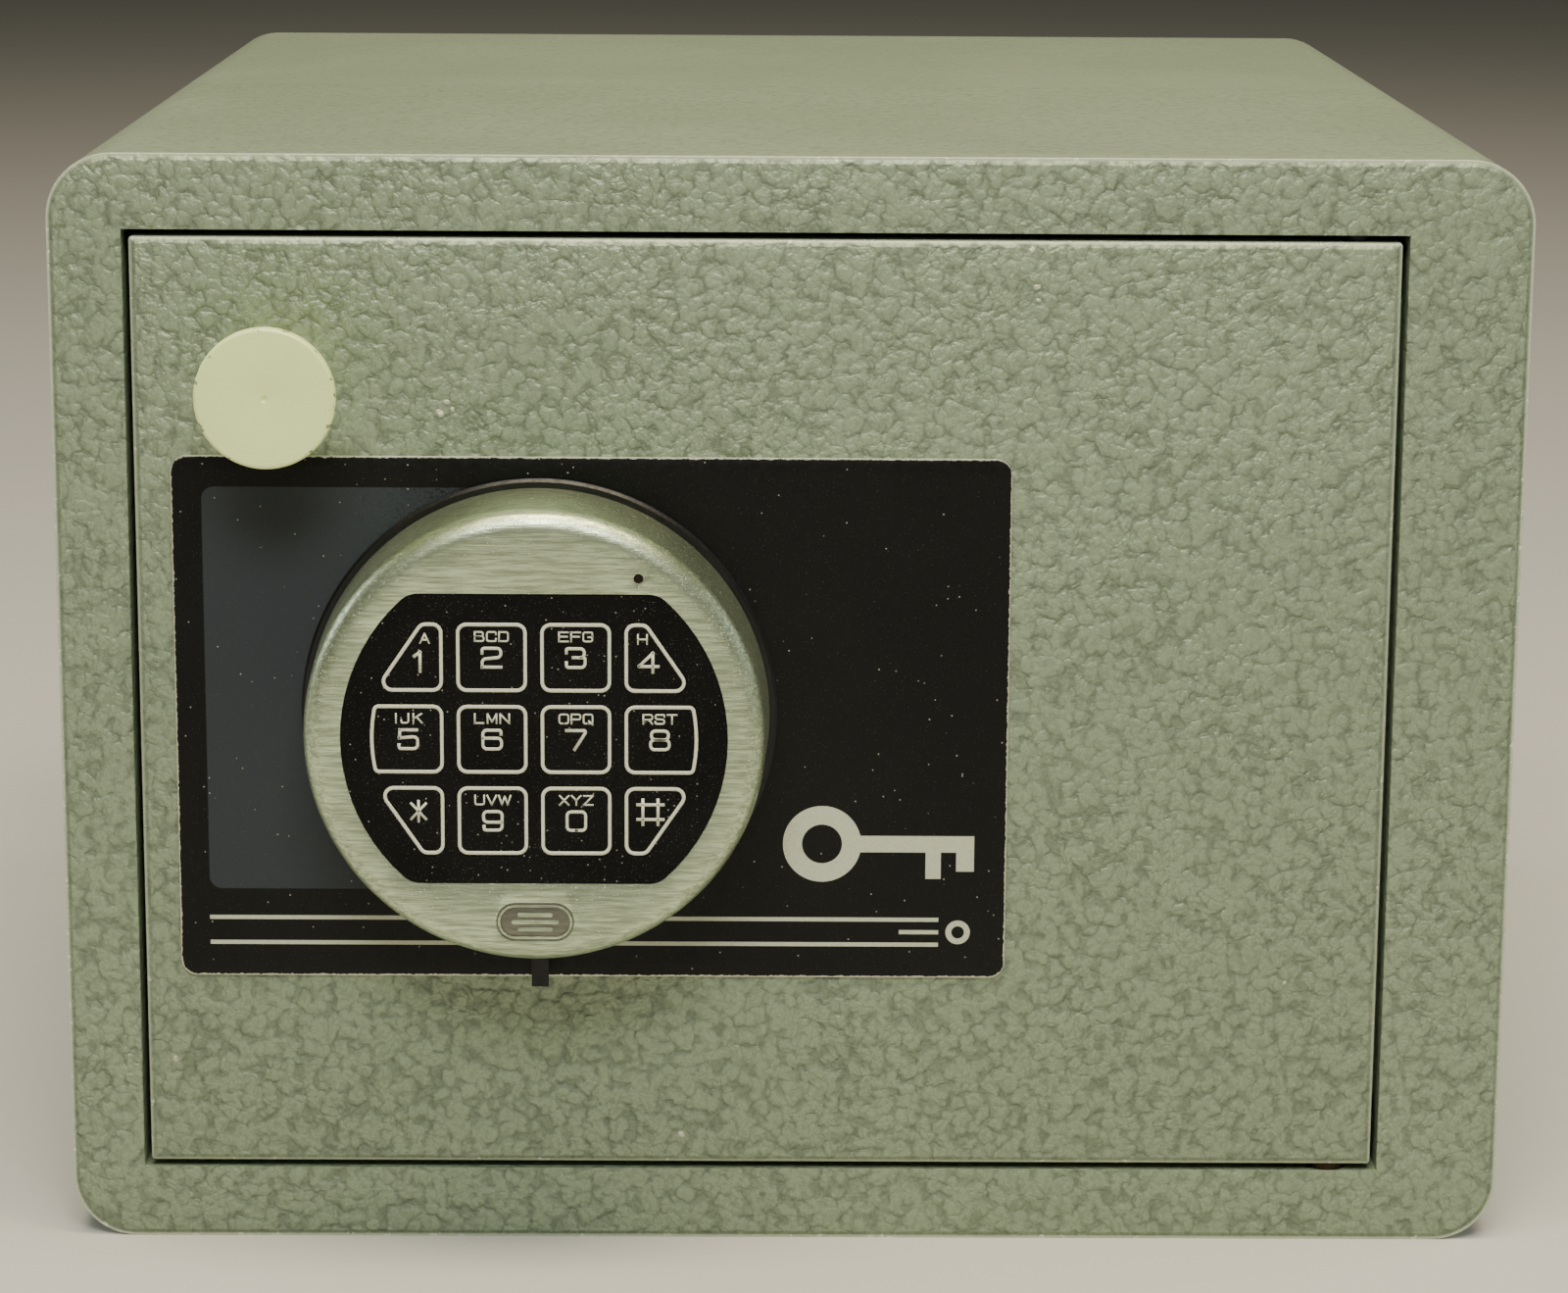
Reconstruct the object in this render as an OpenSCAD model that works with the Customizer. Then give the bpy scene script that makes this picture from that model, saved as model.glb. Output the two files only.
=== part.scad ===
// Small electronic safe: a steel cabinet with a flush, pivot-hung door, a round
// twelve-key lock, a turning knob and sliding boltwork behind the door.
// Millimetres, +Z up, the door faces -Y, origin at the centre of the underside.

/* [Cabinet] */
// Width of the cabinet
body_w = 340; // [335:1:380]
// Height of the cabinet
body_h = 259; // [256:1:300]
// Depth of the cabinet without knob and keypad
body_d = 360; // [300:1:420]
// Thickness of the bent steel wrap
wrap_t = 6; // [4:0.5:7]
// Thickness of the back plate
back_t = 6; // [4:0.5:8]
// Thickness of the front frame and of the door plate
plate_t = 10; // [10:0.5:12]
// Outer radius of the four long edges
corner_r = 15; // [12:0.5:17]

/* [Door opening] */
// Width of the frame left of the door
border_left = 17; // [16:0.5:20]
// Width of the frame right of the door, which carries the hinge pins
border_right = 28.5; // [26:0.5:30]
// Height of the frame above and below the door
border_level = 17.3; // [17:0.1:19]
// Gap all round between door and frame
door_gap = 1.6; // [1.5:0.1:1.8]

/* [Hinge] */
// Distance of the hinge axis from the door's right edge
hinge_inset = 10; // [9:0.5:11]
// Radius of the hinge pins
hinge_pin_r = 3; // [2.5:0.1:3.2]
// Length of pin inside the door, and inside the frame
hinge_depth = 12; // [8:1:12]

/* [Boltwork] */
// Radius of the round locking bolts
bolt_r = 7; // [6:0.5:7]
// Travel of the bolts
bolt_throw = 12; // [10:0.5:12]
// Height of the lower bolt
bolt_low_z = 76; // [74:1:80]
// Height of the upper bolt
bolt_high_z = 180; // [176:1:182]

/* [Knob] */
// Distance of the knob's axis from the left and the top edge of the door
knob_inset = 33.3; // [32:0.1:36]
// Radius of the knob's rim
knob_r = 16; // [14:0.5:18]
// Reach of the knob in front of the door
knob_reach = 26; // [24:1:30]

/* [Keypad] */
// Keypad centre, left of the cabinet's centre
keypad_left = 58; // [54:1:60]
// Height of the keypad centre
keypad_z = 129; // [126:1:132]
// Reach of the keypad in front of the door
keypad_reach = 28.9; // [28:0.1:30]
// Radius of the keypad's flat face
face_r = 47.9; // [47.6:0.1:48.4]
// Radius of the keypad housing at its rear edge
housing_r = 53.6; // [53.2:0.1:54.4]
// Radius of the black base ring
base_r = 55.4; // [55:0.1:57]
// Centre distance of neighbouring keys
key_pitch = 19.05; // [18.8:0.05:19.2]
// Width and height of a key
key_size = 16.1; // [15:0.1:16.4]
// Travel of a key
key_travel = 0.5; // [0.3:0.1:0.5]

/* [Label plate] */
// Left edge of the label plate, from the cabinet's left side
label_inset = 27; // [26:1:30]
// Width of the label plate
label_w = 194.5; // [190:0.5:198]
// Height of the label plate
label_h = 124.5; // [120:0.5:126]
// Height of the label plate's lower edge
label_z = 65.2; // [64:0.1:68]

/* [Hidden] */
$fn = 64;

// Finishes
PAINT = "#8c917d";
RAW_STEEL = "#9a9c9e";
ZINC = "#b9b6a4";
BLACK = "#17181a";
NICKEL = "#b4b7a6";
KNOB_METAL = "#c6c9a8";

slit = 0.01; // overshoot of a cutting tool past the face it opens
run_gap = 0.05; // radial clearance of a running fit
slide_gap = 0.15; // clearance beside a flat sliding face

// Planes along Y
front_y = -body_d / 2;
door_rear_y = front_y + plate_t;
back_y = body_d / 2 - back_t;

// Door opening and door plate, seen from the front
open_l = -body_w / 2 + border_left;
open_r = body_w / 2 - border_right;
open_b = border_level;
open_t = body_h - border_level;
door_l = open_l + door_gap;
door_r = open_r - door_gap;
door_b = open_b + door_gap;
door_t = open_t - door_gap;
hinge_x = door_r - hinge_inset;
hinge_y = front_y + plate_t / 2;
washer_t = door_gap - 0.1;

// Anchor holes
anchor_r = 6;
anchor_half = 100;
base_anchor_y = 60;
rear_anchor_z = 190;
mat_t = 3;

// Dog bar behind the hinge side
dog_t = 12;
dog_reach = 9;
dog_relief = 0.6;
dog_end = 14;

// Knob, crank and bolt bar. At rest the bolts are drawn in.
knob_x = door_l + knob_inset;
knob_z = door_t - knob_inset;
crank_r = bolt_throw;
crank_angle = 30;
spindle_r = 5;
bush_r = 8;
bush_flange_r = 11;
bush_flange_t = 1.6;
cam_pin_r = 3;
cam_slot_gap = 0.3;
bar_x = knob_x + crank_r * sin(crank_angle);
pin_z = knob_z - crank_r * cos(crank_angle);
bar_w = 14;
bar_front_y = door_rear_y + 1.5;
bar_rear_y = bar_front_y + 15;
bar_bottom = bolt_low_z - 16;
bar_top = knob_z - spindle_r - 1.5;
cam_front_y = bar_rear_y + 1;
cam_t = 5;
spindle_end_y = cam_front_y + cam_t + 1.5;
bolt_y = door_rear_y + 9;
bolt_tip_x = door_l + 1;
bolt_stud_r = 4;
guide_l = door_l + 2.5;
guide_w = 8;
guide_rear_y = bolt_y + bolt_r + 2;
guide_screw_dz = 13;

// Electronic lock behind the keypad
keypad_x = -keypad_left;
case_l = -101;
case_r = -36;
case_b = 88;
case_t = 170;
case_rear_y = door_rear_y + 28;
case_wall = 2.5;
lock_cover_t = 2;
case_post_in = 5;
case_post_r = 4.5;
case_screw_r = 2.5;
latch_b = 120;
latch_t = 138;
latch_front_y = door_rear_y + 7;
latch_rear_y = latch_front_y + 12;
cable_x = -45;
cable_z = 158;
cable_r = 2;

// Sheet cover over the boltwork
cover_l = door_l + 11.5;
cover_r = 100;
cover_b = 44;
cover_t = 226;
cover_rear_y = door_rear_y + 36;
cover_sheet = 1.5;
post_r = 5;
post_screw_r = 2;
post_x = [-85, 88];
post_z = [52, 215];

// Keypad layers, as distances in front of the door's face
label_t = 0.8;
base_top = 3.4;
housing_foot = 3.6;
shoulder_r = 4.9;
shoulder_h = keypad_reach - shoulder_r;
housing_bore_r = 50.5;
overlay_top = keypad_reach - 0.4;
overlay_under = overlay_top - 0.8;
face_under = keypad_reach - 2.5;
key_flange_top = face_under - 0.2;
key_flange_t = 0.8;
mat_top = key_flange_top - key_flange_t - key_travel - 0.1;
board_top = mat_top - 1.5;
board_under = board_top - 1.6;
window_gap = 0.2;
key_flange = 0.7;
key_corner_r = 2.4;
key_cut = 5.1; // length left of the cut edge of a corner key
key_bow_r = 37.3; // radius of the bowed side of the two outer middle keys
overlay_r = 44;
overlay_half = 33.8;
overlay_corner_r = 6;
base_screw_dx = 38;
housing_screw_angles = [-50, -130];
indicator = [23.75, 37.8];
indicator_r = 1.1;
badge_w = 18;
badge_h = 9;
badge_drop = 42.5;

// Battery drawer, which slides out of the keypad downwards
drawer_half = 15;
drawer_floor = housing_foot;
drawer_front = board_under - 0.3;
drawer_top = keypad_z + 2;
drawer_wall = 1.8;
drawer_skin = 0.8;
drawer_base_z = keypad_z - 50.4;
battery_len = 48.5;

// Rounded outlines ---------------------------------------------------------

// Points of the arc that rounds the corner p between its neighbours a and b
function corner_arc(a, p, b, r, n = 8) =
  let (
    u = (a - p) / norm(a - p),
    v = (b - p) / norm(b - p),
    half = acos(u * v) / 2,
    mid = (u + v) / norm(u + v),
    c = p + mid * r / sin(half),
    from = p + u * r / tan(half) - c,
    to = p + v * r / tan(half) - c,
    a0 = atan2(from[1], from[0]),
    turn = ((atan2(to[1], to[0]) - a0 + 540) % 360) - 180
  )
  [for (i = [0:n]) c + r * [cos(a0 + turn * i / n), sin(a0 + turn * i / n)]];

// Convex polygon with every corner rounded by the same radius
function rounded(pts, r) =
  [for (i = [0:len(pts) - 1])
    each corner_arc(pts[(i + len(pts) - 1) % len(pts)], pts[i], pts[(i + 1) % len(pts)], r)];

// Rectangle between two corners with true round corners
module rounded_box_2d(x0, z0, x1, z1, r) {
  translate([x0 + r, z0]) square([x1 - x0 - 2 * r, z1 - z0]);
  translate([x0, z0 + r]) square([x1 - x0, z1 - z0 - 2 * r]);
  for (x = [x0 + r, x1 - r], z = [z0 + r, z1 - r]) translate([x, z]) circle(r);
}

// Placing helpers ----------------------------------------------------------

// Extrudes an outline drawn in X and Z from y0 to y1
module slab(y0, y1) {
  translate([0, y1, 0]) rotate([90, 0, 0]) linear_extrude(y1 - y0) children();
}

// Round bar along Y
module bar_y(x, z, y0, y1, r) {
  translate([x, y1, z]) rotate([90, 0, 0]) cylinder(h = y1 - y0, r = r);
}

// Round bar along X
module bar_along_x(x0, x1, y, z, r) {
  translate([x0, y, z]) rotate([0, 90, 0]) cylinder(h = x1 - x0, r = r);
}

// Box between two corners
module block(lo, hi) {
  translate(lo) cube(hi - lo);
}

// Outline in X and Z, extruded between two distances in front of the door
module layer(h0, h1) {
  slab(front_y - h1, front_y - h0) children();
}

// Solid of revolution about the knob's or keypad's axis. The profile's first
// coordinate is the radius, its second the distance in front of the door.
module turned(x, z) {
  translate([x, front_y, z]) rotate([90, 0, 0]) rotate_extrude($fn = 128) children();
}

// Puts a shape drawn along +X on a ray from the keypad's centre
module on_ray(angle) {
  translate([keypad_x, 0, keypad_z]) rotate([0, -angle, 0]) children();
}

// Cabinet -----------------------------------------------------------------

module body_outline(inset = 0) {
  rounded_box_2d(-body_w / 2 + inset, inset, body_w / 2 - inset, body_h - inset, corner_r - inset);
}

module outer_wrap() {
  color(PAINT) difference() {
    slab(door_rear_y, back_y) difference() {
      body_outline();
      body_outline(wrap_t);
    }
    for (side = [-1, 1])
      translate([side * anchor_half, base_anchor_y, -1]) cylinder(h = wrap_t + 2, r = anchor_r);
  }
}

module front_frame() {
  color(PAINT) difference() {
    slab(front_y, door_rear_y) difference() {
      body_outline();
      translate([open_l, open_b]) square([open_r - open_l, open_t - open_b]);
    }
    for (z = [open_b - hinge_depth - 0.5, open_t - slit])
      translate([hinge_x, hinge_y, z]) cylinder(h = hinge_depth + 0.5 + slit, r = hinge_pin_r);
  }
}

module back_plate() {
  color(PAINT) difference() {
    slab(back_y, body_d / 2) body_outline();
    for (side = [-1, 1])
      bar_y(side * anchor_half, rear_anchor_z, back_y - 1, body_d / 2 + 1, anchor_r);
  }
}

module floor_mat() {
  mat_half = body_w / 2 - corner_r - 1;
  color("#3a3b3c") difference() {
    block([-mat_half, door_rear_y + 2, wrap_t], [mat_half, back_y - 1, wrap_t + mat_t]);
    for (side = [-1, 1])
      translate([side * anchor_half, base_anchor_y, wrap_t - 1])
        cylinder(h = mat_t + 2, r = anchor_r + 3);
  }
}

// Pin held by the frame, reaching into the door
module hinge_pin(z0) {
  color(RAW_STEEL) translate([hinge_x, hinge_y, z0])
    cylinder(h = 2 * hinge_depth + door_gap, r = hinge_pin_r);
}

module hinge_pin_upper() { hinge_pin(door_t - hinge_depth); }

module hinge_pin_lower() { hinge_pin(open_b - hinge_depth); }

module hinge_washer() {
  color("#b08d4f") translate([hinge_x, hinge_y, open_b]) difference() {
    cylinder(h = washer_t, r = plate_t / 2 - 0.3);
    translate([0, 0, -1]) cylinder(h = washer_t + 2, r = hinge_pin_r);
  }
}

// Door --------------------------------------------------------------------

module door_plate() {
  bore_h = hinge_depth + 0.3;
  color(PAINT) difference() {
    block([door_l, front_y, door_b], [door_r, door_rear_y, door_t]);
    for (z = [door_b - slit, door_t - bore_h])
      translate([hinge_x, hinge_y, z]) cylinder(h = bore_h + slit, r = hinge_pin_r + run_gap);
    bar_y(knob_x, knob_z, front_y - 1, door_rear_y + 1, bush_r);
    bar_y(cable_x, cable_z, front_y - 1, door_rear_y + 1, 5);
    for (side = [-1, 1])
      bar_y(keypad_x + side * base_screw_dx, keypad_z, front_y - slit, front_y + 6, 2.5);
    for (x = post_x, z = post_z) bar_y(x, z, door_rear_y - 5, door_rear_y + slit, post_screw_r + 0.5);
    for (x = [case_l, case_r], z = [case_b, case_t])
      bar_y(case_screw_x(x), case_screw_z(z), door_rear_y - 6, door_rear_y + slit, case_screw_r);
    for (z = [bolt_low_z, bolt_high_z], side = [-1, 1])
      bar_y(guide_l + guide_w / 2, z + side * guide_screw_dz, door_rear_y - 6, door_rear_y + slit, 2);
  }
}

module dog_bar() {
  color(PAINT) {
    block([hinge_x - 18, door_rear_y, door_b + dog_end], [door_r - 1, door_rear_y + dog_t, door_t - dog_end]);
    block(
      [door_r - 1, door_rear_y + dog_relief, door_b + dog_end],
      [open_r + dog_reach, door_rear_y + dog_t, door_t - dog_end]
    );
  }
}

module label_plate() {
  label_l = -body_w / 2 + label_inset;
  color(BLACK) difference() {
    layer(0, label_t) rounded_box_2d(label_l, label_z, label_l + label_w, label_z + label_h, 3.8);
    bar_y(cable_x, cable_z, front_y - 2, front_y + 1, 5);
    for (side = [-1, 1])
      bar_y(keypad_x + side * base_screw_dx, keypad_z, front_y - 2, front_y + 1, 2.5);
  }
}

// Block that carries one bolt
module bolt_guide(z) {
  color(RAW_STEEL) difference() {
    block(
      [guide_l, door_rear_y, z - guide_screw_dz - 4.5],
      [guide_l + guide_w, guide_rear_y, z + guide_screw_dz + 4.5]
    );
    bar_along_x(guide_l - 1, guide_l + guide_w + 1, bolt_y, z, bolt_r + run_gap);
    for (side = [-1, 1])
      bar_y(guide_l + guide_w / 2, z + side * guide_screw_dz, door_rear_y - 1, guide_rear_y + 1, 2);
  }
}

module bolt_guide_upper() { bolt_guide(bolt_high_z); }

module bolt_guide_lower() { bolt_guide(bolt_low_z); }

// Pan-head screw along Y with its head resting on head_y
module screw_y(x, z, tip_y, head_y, shank_r, head_r, head_t) {
  color(ZINC) difference() {
    union() {
      bar_y(x, z, tip_y, head_y, shank_r);
      bar_y(x, z, head_y, head_y + head_t, head_r);
    }
    translate([x, head_y + head_t + slit, z]) rotate([90, 0, 0])
      cylinder(h = head_t * 0.6, r = shank_r * 0.6, $fn = 6);
  }
}

module bolt_guide_screws() {
  for (z = [bolt_low_z, bolt_high_z], side = [-1, 1])
    screw_y(guide_l + guide_w / 2, z + side * guide_screw_dz, door_rear_y - 6, guide_rear_y, 2, 3.6, 2.4);
}

// Electronic lock ----------------------------------------------------------

function case_screw_x(x) = x < (case_l + case_r) / 2 ? x + case_post_in : x - case_post_in;
function case_screw_z(z) = z < (case_b + case_t) / 2 ? z + case_post_in : z - case_post_in;

// Window in which the lock's own bolt slides
module latch_window(x0, x1) {
  block(
    [x0, latch_front_y - slide_gap, latch_b - slide_gap],
    [x1, latch_rear_y + slide_gap, latch_t + slide_gap]
  );
}

module lock_case() {
  rib_x = case_l + 23;
  color(ZINC) difference() {
    union() {
      difference() {
        block([case_l, door_rear_y, case_b], [case_r, case_rear_y, case_t]);
        block(
          [case_l + case_wall, door_rear_y + case_wall, case_b + case_wall],
          [case_r - case_wall, case_rear_y + 1, case_t - case_wall]
        );
      }
      for (x = [case_l, case_r], z = [case_b, case_t])
        bar_y(case_screw_x(x), case_screw_z(z), door_rear_y, case_rear_y, case_post_r);
      block([rib_x, door_rear_y, latch_b - 8], [rib_x + 3, latch_rear_y + 5, latch_t + 8]);
    }
    latch_window(case_l - 1, rib_x + 4);
    bar_y(cable_x, cable_z, door_rear_y - 1, door_rear_y + case_wall + 1, cable_r + 0.6);
    for (x = [case_l, case_r], z = [case_b, case_t])
      bar_y(case_screw_x(x), case_screw_z(z), door_rear_y - 1, case_rear_y + 1, case_screw_r);
  }
}

module lock_cover() {
  color(ZINC) difference() {
    block([case_l, case_rear_y, case_b], [case_r, case_rear_y + lock_cover_t, case_t]);
    for (x = [case_l, case_r], z = [case_b, case_t])
      bar_y(case_screw_x(x), case_screw_z(z), case_rear_y - 1, case_rear_y + lock_cover_t + 1, case_screw_r);
  }
}

module lock_screws() {
  for (x = [case_l, case_r], z = [case_b, case_t])
    screw_y(case_screw_x(x), case_screw_z(z), door_rear_y - 6, case_rear_y + lock_cover_t,
      case_screw_r, 4.2, 2.5);
}

// Solenoid whose plunger drops in front of the lock's bolt
module lock_solenoid() {
  color("#8a5a3a") translate([case_l + 11.5, (latch_front_y + latch_rear_y) / 2, latch_t]) {
    translate([0, 0, 3]) cylinder(h = 18, r = 7.5);
    translate([0, 0, 1]) cylinder(h = 3, r = 2.5);
  }
}

module lock_cable() {
  color(BLACK) bar_y(cable_x, cable_z, front_y - board_under, case_rear_y - 8, cable_r);
}

module lock_bolt() {
  nose_x = bar_x + bar_w / 2 + 0.3;
  color("#c9a65a") block([nose_x, latch_front_y, latch_b], [nose_x + 42, latch_rear_y, latch_t]);
}

// Cover behind the door ------------------------------------------------------

module door_cover() {
  color(PAINT) difference() {
    block([cover_l, door_rear_y, cover_b], [cover_r, cover_rear_y, cover_t]);
    block(
      [cover_l + cover_sheet, door_rear_y - 1, cover_b + cover_sheet],
      [cover_r - cover_sheet, cover_rear_y - cover_sheet, cover_t - cover_sheet]
    );
    for (z = [bolt_low_z, bolt_high_z])
      bar_along_x(cover_l - 1, cover_l + cover_sheet + 1, bolt_y, z, bolt_r + 1.5);
    for (x = post_x, z = post_z) bar_y(x, z, cover_rear_y - 2, cover_rear_y + 1, post_screw_r);
  }
}

module cover_standoffs() {
  color(RAW_STEEL) for (x = post_x, z = post_z) difference() {
    union() {
      bar_y(x, z, door_rear_y, cover_rear_y - cover_sheet, post_r);
      bar_y(x, z, door_rear_y - 5, door_rear_y, post_screw_r + 0.5);
    }
    bar_y(x, z, cover_rear_y - 12, cover_rear_y, post_screw_r);
  }
}

module cover_screws() {
  for (x = post_x, z = post_z) screw_y(x, z, cover_rear_y - 10, cover_rear_y, post_screw_r, 4, 2.2);
}

// Keypad ------------------------------------------------------------------

module keypad_base() {
  color(BLACK) difference() {
    union() {
      turned(keypad_x, keypad_z) polygon([
        [0, label_t], [base_r, label_t], [base_r, 2.2], [base_r - 0.6, 2.8],
        [base_r - 0.6, base_top], [0, base_top]
      ]);
      for (a = housing_screw_angles) on_ray(a)
        block([42, front_y - 10, -4], [housing_bore_r - 0.2, front_y - base_top, 4]);
    }
    bar_y(cable_x, cable_z, front_y - 5, front_y, cable_r + 1);
    for (side = [-1, 1])
      bar_y(keypad_x + side * base_screw_dx, keypad_z, front_y - 5, front_y, 2.5);
    for (a = housing_screw_angles) on_ray(a) bar_along_x(44, 52, front_y - 7, 0, 1.5);
  }
}

module keypad_base_screws() {
  color(ZINC) for (side = [-1, 1]) {
    bar_y(keypad_x + side * base_screw_dx, keypad_z, front_y - base_top, front_y + 5.5, 2.5);
    bar_y(keypad_x + side * base_screw_dx, keypad_z, front_y - base_top - 2, front_y - base_top, 4.5);
  }
}

// Overlay outline: a disc cut level at top and bottom, with rounded corners
module overlay_outline(r = overlay_r, half = overlay_half) {
  cz = half - overlay_corner_r;
  cx = sqrt(pow(r - overlay_corner_r, 2) - pow(cz, 2));
  far = 1.2 * r;
  translate([keypad_x, keypad_z]) {
    square([2 * cx, 2 * half], center = true);
    for (sx = [-1, 1]) {
      intersection() {
        circle(r, $fn = 128);
        polygon([[0, 0], [sx * far, far * cz / cx], [sx * far, -far * cz / cx]]);
      }
      for (sz = [-1, 1]) translate([sx * cx, sz * cz]) circle(overlay_corner_r);
    }
  }
}

// True for the four keys at the corners of the grid, which have one slanted side
function is_corner_key(col, row) = (col == 0 || col == 3) && row != 1;

// Corner points of a key about its own centre. The slanted side of a corner key
// runs from the outer corner of its long edge to a shorter outer edge.
function key_corners(col, row) =
  let (
    h = key_size / 2,
    sx = col < 2 ? -1 : 1,
    sz = row < 1 ? 1 : -1,
    cut = is_corner_key(col, row) ? key_cut - h : h
  )
  [[-h * sx, -h * sz], [h * sx, -h * sz], [cut * sx, h * sz], [-h * sx, h * sz]];

// Moves every point of a convex outline about the origin outwards by g
function grown(pts, g) =
  [for (i = [0:len(pts) - 1])
    let (
      chord = pts[(i + 1) % len(pts)] - pts[(i + len(pts) - 1) % len(pts)],
      normal = [chord[1], -chord[0]] / norm(chord)
    )
    pts[i] + g * sign(normal * pts[i]) * normal];

// Outline of a key, grown by g
module key_outline(col, row, g = 0) {
  centre = [(col - 1.5) * key_pitch, (1 - row) * key_pitch];
  h = key_size / 2 + g;
  r = key_corner_r + g;
  translate([keypad_x, keypad_z])
    if (row == 1 && (col == 0 || col == 3)) {
      // the outer side bows out along a circle about the keypad's centre
      bow = 1.2 * (col - 1.5) / 1.5;
      intersection() {
        circle(key_bow_r + g, $fn = 128);
        translate(centre + [bow / 2, 0])
          rounded_box_2d(-h - abs(bow) / 2, -h, h + abs(bow) / 2, h, r);
      }
    } else {
      translate(centre) polygon(grown(rounded(key_corners(col, row), key_corner_r), g));
    }
}

module key_windows(h0, h1) {
  for (row = [0:2], col = [0:3]) layer(h0, h1) key_outline(col, row, window_gap);
}

module keypad_housing() {
  color(NICKEL) difference() {
    turned(keypad_x, keypad_z) polygon(concat(
      [[housing_bore_r, housing_foot], [housing_r, housing_foot]],
      [for (i = [0:8]) [face_r, shoulder_h] + shoulder_r * [cos(i * 11.25), sin(i * 11.25)]],
      [[0, keypad_reach], [0, face_under], [housing_bore_r, face_under]]
    ));
    layer(overlay_under, keypad_reach + 1) overlay_outline(overlay_r + 0.05, overlay_half + 0.05);
    key_windows(face_under - 1, overlay_under + 1);
    bar_y(keypad_x + indicator[0], keypad_z + indicator[1],
      front_y - keypad_reach - 1, front_y - face_under + 1, indicator_r);
    layer(keypad_reach - 0.4, keypad_reach + 1) badge_outline();
    block(
      [keypad_x - drawer_half - slide_gap, front_y - drawer_front - 0.15, keypad_z - 60],
      [keypad_x + drawer_half + slide_gap, front_y - housing_foot + 1, keypad_z - 40]
    );
    for (a = housing_screw_angles) on_ray(a) {
      bar_along_x(49, 56, front_y - 7, 0, 1.5);
      bar_along_x(52.4, 56, front_y - 7, 0, 2.7);
    }
  }
}

module housing_screws() {
  color(ZINC) for (a = housing_screw_angles) on_ray(a) {
    bar_along_x(45, 52.6, front_y - 7, 0, 1.5);
    bar_along_x(52.4, 53.6, front_y - 7, 0, 2.6);
  }
}

module keypad_overlay() {
  color(BLACK) difference() {
    layer(overlay_under, overlay_top) overlay_outline();
    key_windows(overlay_under - 1, overlay_top + 1);
  }
}

module dome_mat() {
  color("#5c5f60") layer(board_top, mat_top) intersection() {
    translate([keypad_x, keypad_z]) circle(47);
    translate([keypad_x - 47, keypad_z - 36]) square([94, 72]);
  }
}

module circuit_board() {
  color("#2f6b3f") layer(board_under, board_top)
    translate([keypad_x, keypad_z]) circle(housing_bore_r - 0.5);
}

module sounder() {
  color(BLACK) bar_y(keypad_x - 22, keypad_z + 28, front_y - board_under, front_y - board_under + 7, 6);
}

module indicator_lens() {
  color("#3a0d0d") bar_y(keypad_x + indicator[0], keypad_z + indicator[1],
    front_y - keypad_reach + 0.3, front_y - board_top, indicator_r);
}

module badge_outline(g = 0) {
  run = (badge_w - badge_h) / 2;
  translate([keypad_x, keypad_z - badge_drop]) {
    square([2 * run, badge_h + 2 * g], center = true);
    for (x = [-run, run]) translate([x, 0]) circle(badge_h / 2 + g);
  }
}

module badge_inlay() {
  color(NICKEL) layer(keypad_reach - 0.4, keypad_reach - 0.15) badge_outline(-0.1);
}

// One key: the cap fills its window, the flange behind keeps it in
module key_button(col, row) {
  color(BLACK) {
    layer(key_flange_top - key_flange_t, key_flange_top) key_outline(col, row, key_flange);
    layer(key_flange_top, overlay_top) key_outline(col, row);
  }
}

// Knob and crank ------------------------------------------------------------

module knob_bush() {
  color("#b08d4f") turned(knob_x, knob_z) polygon([
    [spindle_r + run_gap, -plate_t], [bush_r, -plate_t], [bush_r, 0],
    [bush_flange_r, 0], [bush_flange_r, bush_flange_t], [spindle_r + run_gap, bush_flange_t]
  ]);
}

module knob() {
  edge = 0.85; // rounding of the front edge
  rim_back = knob_reach - 2.6;
  under = rim_back - 1.2;
  neck_r = 8.8;
  neck_top = 8;
  foot = bush_flange_t + 1;
  flare = knob_r - 1.2 - neck_r; // how far the head spreads past the neck
  color(KNOB_METAL) difference() {
    turned(knob_x, knob_z) polygon(concat(
      [[0, knob_reach], [knob_r - edge, knob_reach]],
      [for (i = [1:6]) [knob_r - edge, knob_reach - edge] + edge * [sin(i * 15), cos(i * 15)]],
      [[knob_r, rim_back]],
      [for (i = [1:3]) [knob_r - 1.2, rim_back] + 1.2 * [cos(i * 30), -sin(i * 30)]],
      [for (i = [1:10]) [neck_r + flare * (1 - sin(i * 9)), under - (under - neck_top) * (1 - cos(i * 9))]],
      [[neck_r, foot], [0, foot]]
    ));
    bar_y(knob_x, knob_z, front_y - knob_reach + 6, front_y, spindle_r);
    translate([knob_x, front_y - 5.5, knob_z - neck_r - 1]) cylinder(h = neck_r - 2, r = 2);
  }
}

module knob_grub_screw() {
  color(BLACK) translate([knob_x, front_y - 5.5, knob_z - 8.4]) difference() {
    cylinder(h = 8.4 - spindle_r, r = 2);
    translate([0, 0, -slit]) cylinder(h = 1.6, r = 1.1, $fn = 6);
  }
}

module knob_spindle() {
  color(RAW_STEEL) bar_y(knob_x, knob_z, front_y - knob_reach + 6, spindle_end_y, spindle_r);
}

module spindle_ring() {
  color(RAW_STEEL) difference() {
    bar_y(knob_x, knob_z, door_rear_y + 0.1, door_rear_y + 1.1, spindle_r + 2.5);
    bar_y(knob_x, knob_z, door_rear_y - 1, door_rear_y + 2, spindle_r);
  }
}

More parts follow.
